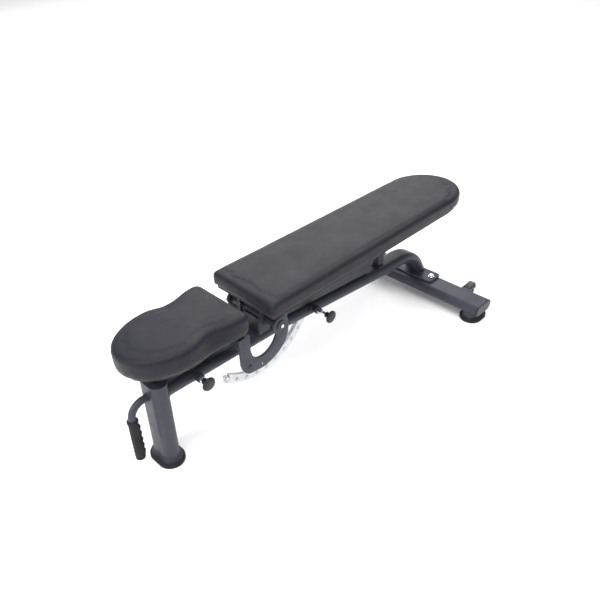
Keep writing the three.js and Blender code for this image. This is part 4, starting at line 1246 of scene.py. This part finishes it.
def relax_and_pucker(piece, floor, top, round_from, sign):
    """Evens the cover, then adds faint gathers where it is pulled round the curved end."""
    bm = bmesh.new()
    bm.from_mesh(piece.data)
    side = [v for v in bm.verts if v.co.z > floor + 0.002]
    for _ in range(2):
        bmesh.ops.smooth_vert(bm, verts=side, factor=0.5, use_axis_x=True, use_axis_y=True, use_axis_z=True)
    bm.normal_update()
    height = top - floor
    for v in bm.verts:
        up = (v.co.z - floor) / height
        wall = max(0.0, 1 - abs(v.normal.z) * 1.6)
        along = min(max(sign * (v.co.x - round_from) / 0.05, 0.0), 1.0)
        turn = math.atan2(v.co.y, sign * (v.co.x - round_from) + 1e-6)
        low = max(0.0, 1 - up * 1.5)
        gather = math.sin(turn * 34 + 2.2 * noise.noise(v.co * 14)) * 0.0007 * low * along * wall
        drift = noise.noise(v.co * 17) * 0.0007 + noise.noise(v.co * 45) * 0.00025
        if v.co.z > floor + 0.002:
            v.co += v.normal * (gather + drift)
    for face in bm.faces:
        face.smooth = True
    bm.to_mesh(piece.data)
    bm.free()
    even = piece.modifiers.new("smooth", "SUBSURF")
    even.levels = 1
    even.render_levels = 1
    bake_modifiers(piece)


def make_pad(name, node_name, body, outline, lower, round_from, sign):
    """One upholstered pad; round_from is where its curved end starts, sign the way that end points."""
    inset = settings().pads.start_inset / MM
    floor = reach(node_name, 2, 0)
    top = reach(node_name, 2, 1) - 3 - (inset - 1.2)
    crown = [(0, -9), (0.8, -5.6), (3, -2.4), (6.5, -0.8), (12, 0), (30, 1.4), (60, 2.4)]
    levels = [(a, floor + b) for a, b in lower]
    levels += [(inset, floor + 20)] + [(inset + a, top + b) for a, b in crown]
    piece = foam(name, outline, levels)
    stuff(piece, floor * MM)
    relax_and_pucker(piece, floor * MM, top * MM, round_from, sign)
    dress(piece, body, "Pad vinyl", [node_name])


def make_pads():
    """Back pad and seat pad, upholstered in vinyl."""
    head = place(reach("back_pad", 0, 1) - BACK_ROUND, 0, 0).x
    make_pad("back_cushion", "back_pad", "backrest", back_outline, [(7, 0.2), (5.4, 2), (5, 5)], head, 1)
    nose = place(reach("seat_pad", 0, 0) + SEAT_ROUND, 0, 0).x
    lower = [(15, 0.2), (10, 3), (6.5, 9), (5.4, 16)]
    make_pad("seat_cushion", "seat_pad", "seat", seat_outline, lower, nose, -1)


def dress_carried():
    """Gives every CAD node that still shows its finish."""
    look_of = {slot: look for look, slot in SLOT_OF.items()}
    slot_of = {s["node"]: s["material_slot"] for s in frame["record"]["subparts"]}
    for name, carried in frame["nodes"].items():
        look = bpy.data.materials[look_of[slot_of[name]]]
        if not carried.material_slots:
            carried.data.materials.append(look)
        for worn in carried.material_slots:
            worn.material = look


# ------------------------------------------------------------------ stage


def area_light(name, power, size, location, target):
    """Square soft light aimed at a point."""
    light = bpy.data.lights.new(name, "AREA")
    light.energy = power
    light.size = size
    lamp = bpy.data.objects.new(name, light)
    bpy.context.scene.collection.objects.link(lamp)
    lamp.location = location
    lamp.rotation_euler = (Vector(target) - Vector(location)).to_track_quat("-Z", "Y").to_euler()


CAMERA_PLACE = (-633, -1206, 1470)
CAMERA_TURN = (44.71, 34.85, 1.24)  # yaw, pitch and roll, in degrees
CAMERA_LENS = 37.5


def make_floor():
    """Pale floor just under the feet."""
    bm = bmesh.new()
    bmesh.ops.create_grid(bm, x_segments=8, y_segments=8, size=14)
    mesh = bpy.data.meshes.new("floor")
    bm.to_mesh(mesh)
    bm.free()
    floor = bpy.data.objects.new("floor", mesh)
    bpy.context.scene.collection.objects.link(floor)
    tree, shader = start_material("Pale floor", Roughness=0.9, Specular_IOR_Level=0.1)
    drift = add_effect(tree, "Mottle", Scale=0.6, Low=0, High=1)
    two_tone(tree, shader, drift.outputs[0], (0.955, 0.955, 0.957), (0.97, 0.97, 0.97))
    mesh.materials.append(bpy.data.materials["Pale floor"])
    floor.location.z = -0.0005


def make_light():
    """Even room light, a key light, a light behind and a fill."""
    stage = settings().stage
    world = bpy.data.worlds.new("Studio")
    world.use_nodes = True
    sky = world.node_tree.nodes["Background"]
    sky.inputs["Color"].default_value = (0.98, 0.985, 1.0, 1)
    sky.inputs["Strength"].default_value = stage.room
    bpy.context.scene.world = world
    area_light("Key light", stage.key, 4.0, (-0.9, -1.2, 4.4), (0.3, 0.2, 0.0))
    area_light("Back light", stage.back, 5.0, (3.6, 3.6, 3.9), (2.6, 2.6, 0.0))
    area_light("Fill light", stage.fill, 1.2, (-3.0, 0.2, 1.9), (-0.6, 0, 0.4))
    bpy.context.scene.view_settings.view_transform = "Standard"


def make_camera():
    """Camera above the near front corner."""
    yaw, pitch, roll = (math.radians(a) for a in CAMERA_TURN)
    look = Vector((math.cos(yaw) * math.cos(pitch), math.sin(yaw) * math.cos(pitch), -math.sin(pitch)))
    right = Vector((math.sin(yaw), -math.cos(yaw), 0))
    down = look.cross(right)
    tilted_right = right * math.cos(roll) + down * math.sin(roll)
    tilted_down = down * math.cos(roll) - right * math.sin(roll)
    lens = bpy.data.cameras.new("View")
    lens.sensor_width = 36
    lens.lens = CAMERA_LENS
    camera = bpy.data.objects.new("View", lens)
    bpy.context.scene.collection.objects.link(camera)
    turn = Matrix((tilted_right, -tilted_down, -look)).transposed().to_4x4()
    camera.matrix_world = Matrix.Translation(place(*CAMERA_PLACE)) @ turn
    bpy.context.scene.camera = camera


def make_stage():
    """Floor, light and camera."""
    make_floor()
    make_light()
    make_camera()


# ------------------------------------------------------------------ operators and panel


class BENCH_OT_finishes(bpy.types.Operator):
    """Make the paint, vinyl, rubber, plastic and metal finishes"""

    bl_idname = "bench.finishes"
    bl_label = "Finishes"
    bl_options = {"REGISTER", "UNDO"}

    def execute(self, context):
        make_finishes()
        return {"FINISHED"}


class BENCH_OT_leg(bpy.types.Operator):
    """Build the front leg and its top plate"""

    bl_idname = "bench.leg"
    bl_label = "Leg"
    bl_options = {"REGISTER", "UNDO"}

    def execute(self, context):
        make_leg()
        return {"FINISHED"}


class BENCH_OT_feet(bpy.types.Operator):
    """Build the rubber shoes and rear stands"""

    bl_idname = "bench.feet"
    bl_label = "Feet"
    bl_options = {"REGISTER", "UNDO"}

    def execute(self, context):
        make_feet()
        return {"FINISHED"}


class BENCH_OT_handle(bpy.types.Operator):
    """Build the carry handle and its grip"""

    bl_idname = "bench.handle"
    bl_label = "Handle"
    bl_options = {"REGISTER", "UNDO"}

    def execute(self, context):
        make_handle()
        return {"FINISHED"}


class BENCH_OT_main_tube(bpy.types.Operator):
    """Build the main tube and the arch gusset"""

    bl_idname = "bench.main_tube"
    bl_label = "Main tube"
    bl_options = {"REGISTER", "UNDO"}

    def execute(self, context):
        make_main_tube()
        return {"FINISHED"}


class BENCH_OT_rear_beam(bpy.types.Operator):
    """Build the rear beam, caps, flange and bolts"""

    bl_idname = "bench.rear_beam"
    bl_label = "Rear beam"
    bl_options = {"REGISTER", "UNDO"}

    def execute(self, context):
        make_rear_beam()
        return {"FINISHED"}


class BENCH_OT_wheels(bpy.types.Operator):
    """Build the transport wheels"""

    bl_idname = "bench.wheels"
    bl_label = "Wheels"
    bl_options = {"REGISTER", "UNDO"}

    def execute(self, context):
        make_wheels()
        return {"FINISHED"}


class BENCH_OT_pivot(bpy.types.Operator):
    """Build the pivot's bolts"""

    bl_idname = "bench.pivot"
    bl_label = "Pivot"
    bl_options = {"REGISTER", "UNDO"}

    def execute(self, context):
        make_pivot()
        return {"FINISHED"}


class BENCH_OT_back_frame(bpy.types.Operator):
    """Build the back rail, hinge ears and pad screws"""

    bl_idname = "bench.back_frame"
    bl_label = "Back frame"
    bl_options = {"REGISTER", "UNDO"}

    def execute(self, context):
        make_back_frame()
        return {"FINISHED"}


class BENCH_OT_lock_arc(bpy.types.Operator):
    """Build the drilled arc plates"""

    bl_idname = "bench.lock_arc"
    bl_label = "Lock arc"
    bl_options = {"REGISTER", "UNDO"}

    def execute(self, context):
        make_lock_arc()
        return {"FINISHED"}


class BENCH_OT_seat_frame(bpy.types.Operator):
    """Build the hooked seat brackets"""

    bl_idname = "bench.seat_frame"
    bl_label = "Seat frame"
    bl_options = {"REGISTER", "UNDO"}

    def execute(self, context):
        make_seat_frame()
        return {"FINISHED"}


class BENCH_OT_pins(bpy.types.Operator):
    """Build the pull pins"""

    bl_idname = "bench.pins"
    bl_label = "Pull pins"
    bl_options = {"REGISTER", "UNDO"}

    def execute(self, context):
        make_pins()
        return {"FINISHED"}


class BENCH_OT_stops(bpy.types.Operator):
    """Build the back's rest post and the buffers"""

    bl_idname = "bench.stops"
    bl_label = "Stops"
    bl_options = {"REGISTER", "UNDO"}

    def execute(self, context):
        make_stops()
        return {"FINISHED"}


class BENCH_OT_welds(bpy.types.Operator):
    """Build the weld beads"""

    bl_idname = "bench.welds"
    bl_label = "Welds"
    bl_options = {"REGISTER", "UNDO"}

    def execute(self, context):
        make_welds()
        return {"FINISHED"}


class BENCH_OT_pads(bpy.types.Operator):
    """Upholster the back and seat pads"""

    bl_idname = "bench.pads"
    bl_label = "Pads"
    bl_options = {"REGISTER", "UNDO"}

    def execute(self, context):
        make_pads()
        return {"FINISHED"}


class BENCH_OT_carried(bpy.types.Operator):
    """Give the remaining frame pieces their finishes"""

    bl_idname = "bench.carried"
    bl_label = "Frame finishes"
    bl_options = {"REGISTER", "UNDO"}

    def execute(self, context):
        dress_carried()
        return {"FINISHED"}


class BENCH_OT_stage(bpy.types.Operator):
    """Build the floor, light and camera"""

    bl_idname = "bench.stage"
    bl_label = "Stage"
    bl_options = {"REGISTER", "UNDO"}

    def execute(self, context):
        make_stage()
        return {"FINISHED"}


# in the order in which they build the bench
OPERATORS = [
    BENCH_OT_finishes,
    BENCH_OT_leg,
    BENCH_OT_feet,
    BENCH_OT_handle,
    BENCH_OT_main_tube,
    BENCH_OT_rear_beam,
    BENCH_OT_wheels,
    BENCH_OT_pivot,
    BENCH_OT_back_frame,
    BENCH_OT_lock_arc,
    BENCH_OT_seat_frame,
    BENCH_OT_pins,
    BENCH_OT_stops,
    BENCH_OT_welds,
    BENCH_OT_pads,
    BENCH_OT_carried,
    BENCH_OT_stage,
]


class BENCH_PT_build(bpy.types.Panel):
    """Sidebar panel that lists the bench's settings and building steps."""

    bl_idname = "BENCH_PT_build"
    bl_label = "Weight bench"
    bl_space_type = "VIEW_3D"
    bl_region_type = "UI"
    bl_category = "Bench"

    def draw(self, context):
        layout = self.layout
        bench = context.scene.bench
        for group in (bench.frame, bench.pads, bench.colours, bench.stage):
            box = layout.box()
            for key in group.__annotations__:
                box.prop(group, key)
        for step in OPERATORS:
            layout.operator(step.bl_idname)


SETTING_GROUPS = [BenchFrameSizes, BenchPadShape, BenchColours, BenchStage, BenchSettings]
CLASSES = [*SETTING_GROUPS, *OPERATORS, BENCH_PT_build]


def register():
    """Adds the settings, operators and panel to Blender."""
    for cls in CLASSES:
        bpy.utils.register_class(cls)
    bpy.types.Scene.bench = PointerProperty(type=BenchSettings)


def unregister():
    """Takes the settings, operators and panel out again."""
    del bpy.types.Scene.bench
    for cls in reversed(CLASSES):
        bpy.utils.unregister_class(cls)


def main():
    """Builds the bench step by step."""
    register()
    for step in OPERATORS:
        getattr(bpy.ops.bench, step.bl_idname.split(".")[1])()


if __name__ == "__main__":
    main()
